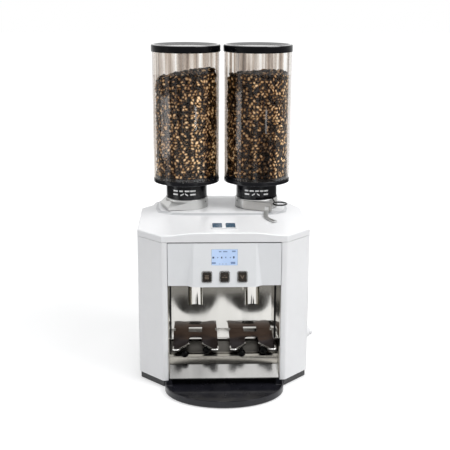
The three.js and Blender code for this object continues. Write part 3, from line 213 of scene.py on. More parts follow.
def mix_into_output(tree, output_kind, share, first, second):
    """Joins two shaders, the second one by its share, to the tree's output."""
    mix = add_node(tree, "ShaderNodeMixShader", {0: share, 1: first, 2: second})
    fill(tree, find_node(tree, output_kind), {"Surface": mix.outputs["Shader"]})


# ---------------------------------------------------------------- materials
WHITE = (0.85, 0.85, 0.86)
FASCIA_GREY = (0.80, 0.81, 0.825)
PAINT = {"vary": 0.01, "coat": 0.15, "coat_rough": 0.15, "bump_scale": 500,
         "bump_depth": 0.000003}
PRINT = {"vary": 0.15, "grain": 300}
GLOSS_GRAIN = 3
BRUSH_GRAIN = 40
BRUSH_DEPTH = 0.00001
BRUSH_SPAN = (0.25, 0.75)

# slope round the cover's platform, with painted shade: how far it faces up and lies under the top,
# and its painted shade tone
PLATFORM_SLOPE = (0.82, 0.97)
PLATFORM_DROP = (0.0056, 0.0046)
PLATFORM_SHADE_TONE = (0.54, 0.545, 0.56)

# the bay's liner: spans in height or depth where finishes meet, and tints of sides and back
LINER_FLOOR = (0.0570, 0.0580)
LINER_STEP = (-0.078, -0.070)
LINER_BACK = (-0.0150, -0.0135)
LINER_TINTS = ((0.64, 0.62, 0.58), (1.0, 1.0, 1.0))
# painted shade: the tone the bay's floor is darkened to
FLOOR_PAINTED_SHADE = (0.26, 0.25, 0.24)
FLOOR_DULL = 0.30
STEP_DULL = 0.14
LINER_BOW = (0.078, 0.095)
LINER_BOW_ANGLE = math.radians(5.4)
LINER_FOOT_ANGLE = math.radians(8)

# depth over which the forks turn brown, a painted reflection
FORK_BROWN_REFLECTION = (-0.070, -0.045)
FORK_SPAN = (0.35, 0.65)
LID_TOP = (0.3, 0.8)
LID_COAT_IOR = 3.1
ACRYLIC_IOR = 1.36
DISPLAY_GLOW = 0.45
# per point: each bean's own tone times its painted shade and highlight
BEAN_TONE_AND_SHADE_LAYER = "tone"
BEAN_MOTTLE = 0.15


def surface(name, colour, rough, metallic=0.0, vary=0.04, grain=60, stretch=EVEN,
            bump_scale=900, bump_depth=0.00001, coat=0.0, coat_rough=0.05, specular=0.5):
    """A painted, moulded or metal surface: slow colour drift, uneven gloss and a fine relief."""
    material, tree, shader = new_material(name)
    gloss = noise(tree, grain * GLOSS_GRAIN, stretch, detail=5)
    fill(tree, shader, {
        "Base Color": varied(tree, noise(tree, grain, stretch), colour, vary),
        "Metallic": metallic, "Roughness": spread(tree, gloss, *rough),
        "Coat Weight": coat, "Coat Roughness": coat_rough, "Specular IOR Level": specular,
        "Normal": bump(tree, noise(tree, bump_scale, detail=2), bump_depth),
    })
    return material


def brushed(name, colour, rough, stretch, vary=0.12):
    """Brushed or turned metal: fine lines along one direction."""
    material, tree, shader = new_material(name)
    lines = noise(tree, BRUSH_GRAIN, stretch, detail=6, roughness=0.7)
    fill(tree, shader, {
        "Base Color": varied(tree, lines, colour, vary, BRUSH_SPAN),
        "Metallic": 1.0, "Roughness": spread(tree, lines, *rough),
        "Normal": bump(tree, lines, BRUSH_DEPTH),
    })
    return material


def cover_with_slope_shade():
    """The white paint, with painted shade on the slope round the collars' platform."""
    material = surface("cover_paint", WHITE, (0.28, 0.36), **PAINT)
    tree = material.node_tree
    shader = find_node(tree, "BSDF_PRINCIPLED")
    shade = shader.inputs["Base Color"].links[0].from_socket
    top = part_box("top_cover")[1].z
    foot, edge = PLATFORM_DROP
    # painted shade: the paint darkens where it faces less up on the platform's slope
    slope = times(tree, spread(tree, facing_up(tree, "True Normal"), 1.0, 0.0, *PLATFORM_SLOPE),
                  spread(tree, along(tree, "Z"), 0.0, 1.0, top - foot, top - edge))
    fill(tree, shader, {"Base Color": mixed_colour(tree, slope, shade, PLATFORM_SHADE_TONE)})
    return material


def clear_acrylic():
    """Clear tube with upright dark and pale streaks in its colour, a painted reflection, which
    lets the lamps through to the beans.
    """
    material, tree, shader = new_material("clear_acrylic")
    # painted reflection: upright bands from dark to pale in the tube's colour
    reflection_streaks = noise(tree, 62, (1, 1, 0.03), detail=3, roughness=0.6)
    shade = colours(tree, reflection_streaks, [
        (0.36, (0.26, 0.23, 0.21)),
        (0.46, (0.62, 0.55, 0.49)),
        (0.56, (0.97, 0.97, 0.96)),
    ])
    fill(tree, shader, {
        "Base Color": shade, "Transmission Weight": 1.0, "IOR": ACRYLIC_IOR, "Roughness": 0.0,
    })
    clear = add_node(tree, "ShaderNodeBsdfTransparent", {"Color": (0.94, 0.96, 0.95, 1)})
    mix_into_output(tree, "OUTPUT_MATERIAL", seen_by(tree, "Shadow"), shader.outputs["BSDF"],
                    clear.outputs["BSDF"])
    return material


def liner_relief(tree, level):
    """A height that leans the back wall's mirror back: a little above the forks, more below."""
    low, high = LINER_BOW
    above = [math_node(tree, "MAXIMUM", math_node(tree, "SUBTRACT", level, edge), 0.0)
             for edge in LINER_BOW]
    squares = [times(tree, rise, rise) for rise in above]
    bow = math_node(tree, "SUBTRACT", squares[1], squares[0])
    bow = times(tree, bow, math.tan(LINER_BOW_ANGLE) / (2 * (high - low)))
    foot = math_node(tree, "SUBTRACT", low, math_node(tree, "MAXIMUM", level, LINER_FLOOR[1]))
    foot = math_node(tree, "MAXIMUM", foot, 0.0)
    return math_node(tree, "ADD", bow, times(tree, foot, math.tan(LINER_FOOT_ANGLE)))


def liner_steel():
    """Polished sheet with slow waves, its floor darkened by painted shade, and dulled by grounds
    on its floor and step.
    """
    material, tree, shader = new_material("liner_steel")
    level, depth = along(tree, "Z"), along(tree, "Y")
    low = spread(tree, level, 1.0, 0.0, *LINER_FLOOR)
    floor = times(tree, low, spread(tree, depth, 0.0, 1.0, *LINER_STEP))
    step = times(tree, low, spread(tree, depth, 1.0, 0.0, *LINER_STEP))
    back = spread(tree, depth, 0.0, 1.0, *LINER_BACK)
    tone = mixed_colour(tree, back, *LINER_TINTS)
    # painted shade: the bay's floor darkened
    tone = mixed_colour(tree, floor, tone, FLOOR_PAINTED_SHADE)
    drift = noise(tree, 16, (1, 1, 0.25))
    shade = two_tones(tree, drift, (0.54, 0.53, 0.505), (0.66, 0.65, 0.62))
    gloss = spread(tree, noise(tree, 48, (1, 1, 0.25), detail=5), 0.04, 0.09)
    for part, dull in ((floor, FLOOR_DULL), (step, STEP_DULL)):
        gloss = math_node(tree, "ADD", gloss, times(tree, part, dull))
    waves = bump(tree, noise(tree, 8, (1, 1, 0.4), detail=2), 0.0003)
    fill(tree, shader, {
        "Base Color": mixed_colour(tree, 1.0, shade, tone, "MULTIPLY"),
        "Metallic": 1.0, "Roughness": gloss,
        "Normal": bump(tree, liner_relief(tree, level), 1.0, under=waves),
    })
    return material


def fork_finish():
    """Dark worn steel, browner towards the back, where the brown is a painted reflection."""
    material, tree, shader = new_material("fork_steel")
    drift = noise(tree, 26, detail=4)
    front = two_tones(tree, drift, (0.008, 0.009, 0.012), (0.060, 0.062, 0.074), FORK_SPAN)
    back = two_tones(tree, drift, (0.040, 0.026, 0.020), (0.085, 0.060, 0.048), FORK_SPAN)
    depth = math_node(tree, "ADD", along(tree, "Y"), spread(tree, drift, -0.02, 0.02))
    # painted reflection: the brown towards the back
    brown = spread(tree, depth, 0.0, 1.0, *FORK_BROWN_REFLECTION)
    fill(tree, shader, {
        "Base Color": mixed_colour(tree, brown, front, back),
        "Metallic": 1.0, "Specular Tint": (0.60, 0.56, 0.54, 1),
        "Roughness": spread(tree, noise(tree, 72, detail=5), 0.10, 0.24),
        "Normal": bump(tree, noise(tree, 14, detail=2), 0.0006),
    })
    return material


def lid_plastic():
    """Black moulding, its flat top polished and its rim dull."""
    material, tree, shader = new_material("lid_plastic")
    drift = noise(tree, 40)
    fill(tree, shader, {
        "Base Color": two_tones(tree, drift, (0.002, 0.002, 0.003), (0.005, 0.005, 0.006)),
        "Roughness": spread(tree, drift, 0.16, 0.26), "Specular IOR Level": 0.10,
        "Coat Weight": spread(tree, facing_up(tree, "Normal"), 0.0, 1.0, *LID_TOP),
        "Coat IOR": LID_COAT_IOR, "Coat Roughness": 0.06,
        "Normal": bump(tree, noise(tree, 500, detail=2), 0.00001),
    })
    return material


def screen():
    """Backlit display, pale blue with a slow drift."""
    material, tree, shader = new_material("screen")
    shade = two_tones(tree, noise(tree, 30, detail=1), (0.35, 0.46, 0.66), (0.42, 0.53, 0.72))
    fill(tree, shader, {
        "Base Color": shade, "Roughness": 0.12, "Coat Weight": 0.5,
        "Emission Color": shade, "Emission Strength": DISPLAY_GLOW,
    })
    return material


def bean_skin():
    """Roasted skin: each bean has its own tone, with mottled browns; its tone layer also carries
    painted shade and highlight.
    """
    material, tree, shader = new_material("roasted_beans")
    tone = add_node(tree, "ShaderNodeAttribute", attribute_name=BEAN_TONE_AND_SHADE_LAYER)
    mottle = noise(tree, 420, detail=4, roughness=0.6)
    mixed = math_node(tree, "ADD", times(tree, mottle, BEAN_MOTTLE), tone.outputs["Fac"])
    # the black low stops are painted shade, the cream top stop a painted highlight
    shade = colours(tree, mixed, [
        (0.30, (0.001, 0.001, 0.001)),
        (0.50, (0.012, 0.006, 0.003)),
        (0.65, (0.095, 0.047, 0.019)),
        (0.79, (0.450, 0.255, 0.110)),
        (0.96, (0.880, 0.640, 0.380)),
    ])
    fill(tree, shader, {
        "Base Color": shade, "Roughness": spread(tree, mottle, 0.22, 0.42),
        "Specular IOR Level": 0.02,
        "Normal": bump(tree, noise(tree, 900, detail=3), 0.00015),
    })
    return material


paint = surface("white_paint", WHITE, (0.28, 0.36), **PAINT)
fascia_paint = surface("fascia_paint", FASCIA_GREY, (0.28, 0.38), **PAINT)
cover_paint = cover_with_slope_shade()
black_plastic = surface("black_plastic", (0.014, 0.014, 0.016), (0.22, 0.36), vary=0.2,
                        bump_scale=1400, bump_depth=0.00001)
gloss_black = surface("gloss_black", (0.006, 0.006, 0.007), (0.06, 0.16), vary=0.2,
                      specular=0.35)
stop_black = surface("stop_black", (0.002, 0.002, 0.002), (0.10, 0.18), vary=0.2, specular=0.06)
tray_black = surface("tray_black", (0.012, 0.012, 0.016), (0.12, 0.30), vary=0.3, coat=0.1,
                     grain=25, bump_scale=300, bump_depth=0.00002, specular=0.3)
neck_black = surface("neck_black", (0.008, 0.008, 0.010), (0.10, 0.20), vary=0.2, specular=0.4,
                     bump_scale=30, bump_depth=0.0001)
button_dark = surface("button_dark", (0.030, 0.024, 0.020), (0.12, 0.22), vary=0.25, coat=0.5)
black_rubber = surface("black_rubber", (0.02, 0.02, 0.02), (0.7, 0.9), vary=0.2,
                       bump_scale=1200, bump_depth=0.00005)
slate_plastic = surface("slate_plastic", (0.060, 0.105, 0.155), (0.18, 0.30), vary=0.1,
                        coat=0.3)
board_green = surface("board_green", (0.02, 0.11, 0.05), (0.3, 0.5), vary=0.2)
motor_paint = surface("motor_paint", (0.05, 0.05, 0.055), (0.35, 0.5), metallic=0.6, vary=0.1)
cast_metal = surface("cast_metal", (0.30, 0.30, 0.31), (0.45, 0.65), metallic=0.9, vary=0.1,
                     bump_scale=600, bump_depth=0.0001)
fork_steel = fork_finish()
rim_steel = surface("rim_steel", (0.62, 0.62, 0.62), (0.15, 0.25), metallic=1.0, vary=0.1)
polished_steel = liner_steel()
apron_steel = surface("apron_steel", (0.47, 0.465, 0.455), (0.14, 0.26), metallic=1.0, vary=0.25,
                      grain=14, stretch=(1, 0.3, 0.3), bump_scale=12, bump_depth=0.0004)
lip_steel = surface("lip_steel", (0.78, 0.77, 0.75), (0.08, 0.16), metallic=1.0, vary=0.08)
chrome = surface("chrome", (0.66, 0.645, 0.62), (0.03, 0.07), metallic=1.0, vary=0.03, grain=30)
brushed_steel = brushed("brushed_steel", (0.42, 0.41, 0.395), (0.26, 0.40), (1, 1, 30))
satin_aluminium = brushed("satin_aluminium", (0.62, 0.62, 0.61), (0.34, 0.46), (1, 1, 40), 0.07)
burr_steel = brushed("burr_steel", (0.36, 0.36, 0.37), (0.25, 0.40), (30, 1, 1))
acrylic = clear_acrylic()
lid_black = lid_plastic()
display_blue = screen()
beans_brown = bean_skin()
mark_dark = surface("mark_dark", (0.045, 0.075, 0.17), (0.3, 0.4), **PRINT)
mark_faint = surface("mark_faint", (0.19, 0.28, 0.48), (0.3, 0.4), **PRINT)
mark_brown = surface("mark_brown", (0.20, 0.15, 0.11), (0.25, 0.35), vary=0.2, grain=300)
mark_white = surface("mark_white", (0.93, 0.93, 0.92), (0.4, 0.5), vary=0.05, grain=200)

# start of the node's name: material, edge rounding in metres
FINISHES = {
    "side_panel": (paint, 0.0004),
    "rear_panel": (paint, 0.0003),
    "top_cover": (cover_paint, 0.0006),
    "mains_toggle": (paint, 0.0003),
    "front_fascia": (fascia_paint, 0.0004),
    "base_plinth": (black_plastic, 0.0004),
    "mains_inlet": (black_plastic, 0.0003),
    "rocker_frame": (paint, 0.0003),
    "hopper_base": (neck_black, 0.0006),
    "hopper_lid": (lid_black, 0.0008),
    "hopper_gate": (gloss_black, 0.0004),
    "foot": (black_rubber, 0.0004),
    "button_rim": (rim_steel, 0.0003),
    "button": (button_dark, 0.0004),
    "grounds_tray": (tray_black, 0.0005),
    "stop": (stop_black, 0.0),
    "bay_liner": (polished_steel, 0.0),
    "spill_apron": (apron_steel, 0.0002),
    "fork": (fork_steel, 0.0003),
    "spout": (chrome, 0.0003),
    "adjust_collar": (satin_aluminium, 0.0006),
    "adjust_lever": (brushed_steel, 0.0005),
    "lever_pointer": (satin_aluminium, 0.0003),
    "chassis": (brushed_steel, 0.0003),
    "burr_carrier": (brushed_steel, 0.0002),
    "lower_burr": (burr_steel, 0.0),
    "upper_burr": (burr_steel, 0.0),
    "grind_chamber": (cast_metal, 0.0004),
    "hopper_tube": (acrylic, 0.0),
    "display_window": (display_blue, 0.0002),
    "rocker": (slate_plastic, 0.0003),
    "control_board": (board_green, 0.0),
    "motor": (motor_paint, 0.0004),
    "beans": (beans_brown, 0.0),
}
SMOOTH_ANGLE = math.radians(32)
BEVEL_ANGLE = math.radians(35)
BEVEL_SEGMENTS = 2
WELD = 0.00001


def smoothing_group():
    """Geometry nodes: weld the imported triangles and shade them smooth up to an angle."""
    group = bpy.data.node_groups.new("smooth_by_angle", "GeometryNodeTree")
    for way in ("INPUT", "OUTPUT"):
        group.interface.new_socket("Geometry", in_out=way, socket_type="NodeSocketGeometry")
    start = group.nodes.new("NodeGroupInput")
    end = group.nodes.new("NodeGroupOutput")
    drop = group.nodes.new("GeometryNodeRemoveAttribute")
    drop.inputs["Name"].default_value = "custom_normal"
    merge = group.nodes.new("GeometryNodeMergeByDistance")
    merge.inputs["Distance"].default_value = WELD
    smooth = group.nodes.new("GeometryNodeSetShadeSmooth")
    angle = group.nodes.new("GeometryNodeInputMeshEdgeAngle")
    above = group.nodes.new("FunctionNodeCompare")
    above.data_type = "FLOAT"
    above.operation = "GREATER_THAN"
    above.inputs[1].default_value = SMOOTH_ANGLE
    sharp = group.nodes.new("GeometryNodeSetShadeSmooth")
    sharp.domain = "EDGE"
    sharp.inputs["Shade Smooth"].default_value = False
    chain = (start, drop, merge, smooth, sharp, end)
    for first, second in zip(chain, chain[1:]):
        group.links.new(first.outputs["Geometry"], second.inputs["Geometry"])
    group.links.new(angle.outputs["Unsigned Angle"], above.inputs[0])
    group.links.new(above.outputs["Result"], sharp.inputs["Selection"])
    return group


smoothing = smoothing_group()


def weigh_normals(thing):
    weighted = thing.modifiers.new("normals", "WEIGHTED_NORMAL")
    weighted.keep_sharp = True


def soften(thing, edge):
    """Shades a piece smooth up to an angle and rounds its sharper edges."""
    modifier = thing.modifiers.new("smooth", "NODES")
    modifier.node_group = smoothing
    if edge > 0:
        bevel = thing.modifiers.new("edge", "BEVEL")
        bevel.width = edge
        bevel.segments = BEVEL_SEGMENTS
        bevel.limit_method = "ANGLE"
        bevel.angle_limit = BEVEL_ANGLE
    weigh_normals(thing)


def dress_nodes():
    for name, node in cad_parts.items():
        start = max((key for key in FINISHES if name.startswith(key)), key=len)
        material, edge = FINISHES[start]
        for slot in node.material_slots:
            slot.material = material
        soften(node, edge)


dress_nodes()


# ---------------------------------------------------------------- mesh helpers
def add_piece(name, points, faces, material, body, smooth=True):
    mesh = bpy.data.meshes.new(name)
    mesh.from_pydata([tuple(p) for p in points], [], faces)
    mesh.update()
    mesh.materials.append(material)
    if smooth:
        mesh.shade_smooth()
    thing = bpy.data.objects.new(name, mesh)
    bpy.context.scene.collection.objects.link(thing)
    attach(thing, body)
    return thing


def middle_of(node):
    low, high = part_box(node)
    return (low + high) / 2


def joined(parts):
    """One mesh out of several pairs of points and faces."""
    points, faces = [], []
    for part_points, part_faces in parts:
        base = len(points)
        points.extend(part_points)
        faces.extend(tuple(base + i for i in face) for face in part_faces)
    return points, faces


def band(first, second, count):
    """Faces between two rings of count points, which start at the given numbers."""
    return [(first + i, first + (i + 1) % count, second + (i + 1) % count, second + i)
            for i in range(count)]


def barrel(rings, count):
    """Faces of a point, rings of count points and a closing point, in that order."""
    last = 1 + rings * count
    faces = []
    for a, b, c, d in band(1, last - count, count):
        faces.extend([(0, b, a), (d, c, last)])
    for ring in range(rings - 1):
        faces.extend(band(1 + ring * count, 1 + (ring + 1) * count, count))
    return faces


def block(low, high):
    """Points and faces of an upright box."""
    corners = ((low[0], low[1]), (high[0], low[1]), (high[0], high[1]), (low[0], high[1]))
    points = [(x, y, z) for z in (low[2], high[2]) for x, y in corners]
    return points, [(3, 2, 1, 0), (4, 5, 6, 7), *band(0, 4, 4)]


def turned(profile, centre, steps):
    """A closed ring of a (radius, level) profile turned about the upright axis through centre."""
    points, faces = [], []
    count = len(profile)
    for step in range(steps):
        turn = TURN * step / steps
        for radius, level in profile:
            x, y = radius * math.cos(turn), radius * math.sin(turn)
            points.append((centre.x + x, centre.y + y, level))
        here, there = step * count, (step + 1) % steps * count
        for i in range(count):
            j = (i + 1) % count
            faces.append((here + i, there + i, there + j, here + j))
    return points, faces


# ---------------------------------------------------------------- clear tubes
TUBE_STEPS = 128
TUBE_WALL = 0.003
TUBE_ROUND = 0.0006


def add_tube(side):
    node = f"hopper_tube_{side}"
    low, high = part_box(node)
    outer = (high.x - low.x) / 2
    inner = outer - TUBE_WALL
    edge = TUBE_ROUND
    profile = [
        (inner, low.z + edge), (inner + edge, low.z),
        (outer - edge, low.z), (outer, low.z + edge),
        (outer, high.z - edge), (outer - edge, high.z),
        (inner + edge, high.z), (inner, high.z - edge),
    ]
    points, faces = turned(profile, middle_of(node), TUBE_STEPS)
    tube = add_piece(f"clear_tube_{side}", points, faces, acrylic, f"collar_{side}")
    weigh_normals(tube)
    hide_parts(node)


# ---------------------------------------------------------------- beans
BEAN_LENGTH = 0.0092
BEAN_WIDTH = 0.0071
BEAN_THICK = 0.0050
# shares of the thickness over and under the bean's middle plane
BEAN_BACK = 0.62
BEAN_BELLY = 0.38
BEAN_CREASE = 0.0010
BEAN_ROWS = 5
BEAN_ROUND = 8
BEAN_SIZES = (0.88, 1.1)
# mean and spread of a bean's tone, and the limits it is held to
BEAN_TONE = (0.80, 0.11)
BEAN_TONE_LIMITS = (0.5, 1.05)
# painted shade at the tips of each bean
BEAN_END_SHADE = 0.1
SEEDS = {"left": 11, "right": 23}

HEAP_RADIUS = 0.0580
HEAP_BOTTOM = 0.3622
HEAP_LEVEL = 0.548
HEAP_RISE = {"left": 0.010, "right": 0.004}

# the layer against the tube, with soft lumps in its depth
WALL_PITCH = 0.0074
WALL_ROW = 0.0055
WALL_SPARE = 0.012
WALL_TOP_GAP = 0.001
WALL_SHIFT = 0.22
WALL_JUMP = 0.0012
WALL_DEPTH = (-0.0012, 0.0002)
WALL_LEAN = (0.30, 0.22)
WALL_FLIPPED = 0.3
LUMPS_AROUND = 28
LUMP_RISE = 0.0225
LUMP_DENT = 0.0012

# the layer over the top
TOP_PITCH = 0.0062
TOP_ROW = 0.87
TOP_RIM = 0.0052
TOP_SHIFT = 0.3
TOP_JUMP = (-0.0022, 0.0014)
TOP_LEAN = (0.6, 0.5)
TOP_FLIPPED = 0.35

# the mass under the loose beans, as radius and level from the gate up; painted black as the shade
# in the gaps between beans
CORE_GAP = 0.0052
CORE_DROP = 0.0035
CORE_STEPS = 48
CORE_PROFILE = [
    (0.0265, 0.3208), (0.0265, 0.3224), (0.0345, 0.3265), (0.0345, 0.3455),
    (0.0565, 0.3515), (0.0565, 0.3592), (HEAP_RADIUS - CORE_GAP, 0.3595),
]


def bean_painted_light(up):
    """Painted shade and highlight on the skin, by how far it faces up the back or down the belly.
    """
    if up > 0:
        return 0.25 + 0.5 * up + 0.35 * up ** 4
    return 0.3 + 0.75 * abs(up)


def bean_form():
    """One bean along X: a domed back, a flat belly and a crease down the belly."""
    points, shades = [(-BEAN_LENGTH / 2, 0, 0)], [BEAN_END_SHADE]
    for row in range(1, BEAN_ROWS + 1):
        place = -math.cos(math.pi * row / (BEAN_ROWS + 1))
        girth = math.sqrt(1 - place * place)
        for step in range(BEAN_ROUND):
            turn = TURN * step / BEAN_ROUND - math.pi / 2
            aside = math.cos(turn) * BEAN_WIDTH / 2 * girth
            up = math.sin(turn)
            lift = up * BEAN_THICK * (BEAN_BACK if up > 0 else BEAN_BELLY) * girth
            crease = step == 0
            if crease:
                lift += BEAN_CREASE * girth
            points.append((place * BEAN_LENGTH / 2, aside, lift))
            # painted shade: black in the crease and darker to the ends; painted highlight on top
            # of the back
            shades.append(0.0 if crease else bean_painted_light(up) * girth)
    points.append((BEAN_LENGTH / 2, 0, 0))
    shades.append(BEAN_END_SHADE)
    return [Vector(point) for point in points], barrel(BEAN_ROWS, BEAN_ROUND), shades


def heap_top(side, x):
    return HEAP_LEVEL + HEAP_RISE[side] * x / HEAP_RADIUS


def flip(draw, share):
    """Turns a share of the beans belly out."""
    return Matrix.Rotation(math.pi if draw.random() < share else 0, 3, "X")


def wall_beans(side, draw):
    """Places and turns of the loose beans against the tube."""
    places = []
    wall = HEAP_RADIUS - BEAN_THICK * BEAN_BACK
    around = round(TURN * wall / WALL_PITCH)
    rows = int((HEAP_LEVEL + WALL_SPARE - HEAP_BOTTOM) / WALL_ROW)
    for row in range(rows):
        for step in range(around):
            shift = draw.uniform(-WALL_SHIFT, WALL_SHIFT)
            turn = TURN * (step + 0.5 * (row % 2) + shift) / around
            level = HEAP_BOTTOM + row * WALL_ROW + draw.uniform(-WALL_JUMP, WALL_JUMP)
            if level > heap_top(side, wall * math.cos(turn)) - WALL_TOP_GAP:
                continue
            lump = (math.cos(LUMPS_AROUND * turn / 2)
                    * math.cos(math.pi * (level - HEAP_BOTTOM) / LUMP_RISE))
            reach = wall + draw.uniform(*WALL_DEPTH) - LUMP_DENT * (1 - lump) / 2
            face = Matrix.Rotation(turn, 3, "Z") @ Matrix.Rotation(math.pi / 2, 3, "Y")
            spin = Matrix.Rotation(draw.uniform(0, TURN), 3, "Z")
            lean = Euler((*(draw.gauss(0, angle) for angle in WALL_LEAN), 0)).to_matrix()
            place = Vector((reach * math.cos(turn), reach * math.sin(turn), level))
            places.append((place, face @ spin @ lean @ flip(draw, WALL_FLIPPED)))
    return places


def top_beans(side, draw):
    """Places and turns of the loose beans on top."""
    places = []
    count = int(HEAP_RADIUS / TOP_PITCH) + 1
    for i in range(-count, count + 1):
        for j in range(-count, count + 1):
            x = (i + 0.5 * (j % 2) + draw.uniform(-TOP_SHIFT, TOP_SHIFT)) * TOP_PITCH
            y = (j * TOP_ROW + draw.uniform(-TOP_SHIFT, TOP_SHIFT)) * TOP_PITCH
            if math.hypot(x, y) > HEAP_RADIUS - TOP_RIM:
                continue
            place = Vector((x, y, heap_top(side, x) + draw.uniform(*TOP_JUMP)))
            lean = [draw.gauss(0, angle) for angle in TOP_LEAN]
            turn = Euler((*lean, draw.uniform(0, TURN))).to_matrix()
            places.append((place, turn @ flip(draw, TOP_FLIPPED)))
    return places


def heap_core(side):
    """The mass under the loose beans, down the neck to the gate, painted black as shade."""
    points = [(0, 0, CORE_PROFILE[0][1])]
    turns = [TURN * step / CORE_STEPS for step in range(CORE_STEPS)]
    for radius, level in CORE_PROFILE:
        points.extend((radius * math.cos(turn), radius * math.sin(turn), level) for turn in turns)
    radius = CORE_PROFILE[-1][0]
    for turn in turns:
        x, y = radius * math.cos(turn), radius * math.sin(turn)
        points.append((x, y, heap_top(side, x) - CORE_DROP))
    points.append((0, 0, heap_top(side, 0) - CORE_DROP))
    return points, barrel(len(CORE_PROFILE) + 1, CORE_STEPS)


def add_beans(side):
    draw = random.Random(SEEDS[side])
    centre = middle_of(f"hopper_tube_{side}")
    centre.z = 0
    core_points, core_faces = heap_core(side)
    parts = [([centre + Vector(p) for p in core_points], core_faces)]
    # painted shade: tone nought, which the beans' ramp turns black
    tones = [0.0] * len(core_points)
    form, form_faces, shades = bean_form()
    darkest, lightest = BEAN_TONE_LIMITS
    for place, turn in wall_beans(side, draw) + top_beans(side, draw):
        size = draw.uniform(*BEAN_SIZES)
        tone = min(max(draw.gauss(*BEAN_TONE), darkest), lightest)
        parts.append(([centre + place + turn @ (corner * size) for corner in form], form_faces))
        # each bean's own tone, times its painted shade and highlight
        tones.extend(tone * shade for shade in shades)
    points, faces = joined(parts)
    heap = add_piece(f"bean_heap_{side}", points, faces, beans_brown, f"collar_{side}")
    layer = heap.data.attributes.new(BEAN_TONE_AND_SHADE_LAYER, "FLOAT", "POINT")
    layer.data.foreach_set("value", tones)
    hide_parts(f"beans_{side}")


# ---------------------------------------------------------------- generic marks
# the fascia leans back by the first over a height of the second, in millimetres
FACE_LEAN = (9, 77.3)
FACE_TILT = math.atan2(*FACE_LEAN)
FACE_AXES = (
    Vector((1, 0, 0)),
    Vector((0, math.sin(FACE_TILT), math.cos(FACE_TILT))),
    Vector((0, -math.cos(FACE_TILT), math.sin(FACE_TILT))),
)
FACE_DEPTH = 0.0003
MARK_LIFT = 0.0001
MARK_THICK = 0.0002


def face_middle(node):
    """The middle of a node's front face on the tilted fascia."""
    across, up, out = FACE_AXES
    points = [corner.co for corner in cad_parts[node].data.vertices]
    front = max(point.dot(out) for point in points)
    near = [point for point in points if point.dot(out) > front - FACE_DEPTH]
    spans = [[point.dot(axis) for point in near] for axis in (across, up)]
    u, v = [(min(span) + max(span)) / 2 for span in spans]
    return across * u + up * v + out * front


def face_place(node):
    """Places on a node's front face: across, up and out."""
    across, up, out = FACE_AXES
    middle = face_middle(node)

    def place(u, v, height):
        return middle + across * u + up * v + out * height

    return place


def round_place(node, radius):
    """Places on an upright round wall: across and up, seen from the front, and out."""
    middle = middle_of(node)

    def place(u, v, height):
        turn = u / radius
        reach = radius + height
        return Vector((middle.x + reach * math.sin(turn), middle.y - reach * math.cos(turn), v))

    return place


def slab(outline, place, lift, thick):
    """Points and faces of a flat plate; place(u, v, height) gives a point in the room."""
    count = len(outline)
    points = [place(u, v, height) for height in (lift - thick, lift) for u, v in outline]
    faces = [tuple(range(count, 2 * count)), tuple(reversed(range(count)))]
    return points, faces + band(0, count, count)


def box_shape(u, v, width, height, corner=0.3):
    """A rectangle with clipped corners, all in millimetres."""
    a, b, c = width / 2, height / 2, min(corner, width / 3, height / 3)
    return [(u - a + c, v - b), (u + a - c, v - b), (u + a, v - b + c), (u + a, v + b - c),
            (u + a - c, v + b), (u - a + c, v + b), (u - a, v + b - c), (u - a, v - b + c)]


def round_shape(u, v, radius, steps=12):
    return [(u + radius * math.cos(TURN * i / steps), v + radius * math.sin(TURN * i / steps))
            for i in range(steps)]


def add_marks(name, shapes, place, material, body, lift=MARK_LIFT, thick=MARK_THICK):
    """Thin plates with outlines in millimetres."""
    plates = [slab([(u * MM, v * MM) for u, v in outline], place, lift, thick)
              for outline in shapes]
    points, faces = joined(plates)
    add_piece(name, points, faces, material, body, smooth=False)


# display marks: middle across, middle up, width, height
DISPLAY_MARKS = {
    "dark": (mark_dark, [(-19.8, -0.3, 3.4, 3.2), (-5.1, -0.3, 2.4, 3.0), (16.1, 0.0, 2.8, 3.8)]),
    "faint": (mark_faint, [
        (-7.8, 10.2, 4.6, 2.0), (1.2, 10.2, 7.5, 2.0), (16.1, 10.6, 6.3, 2.6),
        (-12.1, -0.3, 2.2, 2.0), (2.0, -0.2, 2.4, 2.6), (10.1, -0.3, 2.2, 2.2),
        (-19.0, -10.0, 7.0, 3.0), (14.7, -9.8, 8.0, 3.8),
        (-8.9, -11.7, 2.6, 0.9), (-3.2, -11.7, 2.6, 0.9), (2.6, -11.7, 2.6, 0.9),
    ]),
}
BUTTON_MARKS = {
    "left": [box_shape(0, level, 7, 1.1) for level in (2.2, -0.4, -3.0)],
    "middle": [box_shape(-2.6, -0.6, 3.4, 1.2), box_shape(2.6, -0.6, 3.4, 1.2),
               round_shape(0, 2.6, 0.8)],
    "right": [[(-3.6, 2.9), (0, -3.9), (3.6, 2.9), (2.3, 2.9), (0, -1.5), (-2.3, 2.9)]],
}

NECK_RADIUS = 0.039
NECK_MARK_THICK = 0.0003
# the two rows of dashes on each neck: level in millimetres, then start and end in degrees
NECK_LEVELS = (333.0, 326.2)
NECK_DASHES = {
    "left": ([(-39, -25), (-20, -10), (-5, 8), (10, 26)], [(-40, -25), (10, 26)]),
    "right": ([(-38, -27), (-23, -11), (-7, 3), (6, 16), (18, 30)], [(-38, -24), (17, 30)]),
}
DASH_PARTS = 3
DASH_HEIGHT = 2.8
DASH_CORNER = 0.1
# slanted strokes in the lower row: start and end in degrees, way up
NECK_STROKES = {"left": [(-17, -8, 1), (-4, 4, -1)], "right": [(-16, -8, 1), (-2, 5, -1)]}
STROKE_RISE = 1.6
STROKE_HALF = 1.2

COLLAR_RADIUS = 0.041
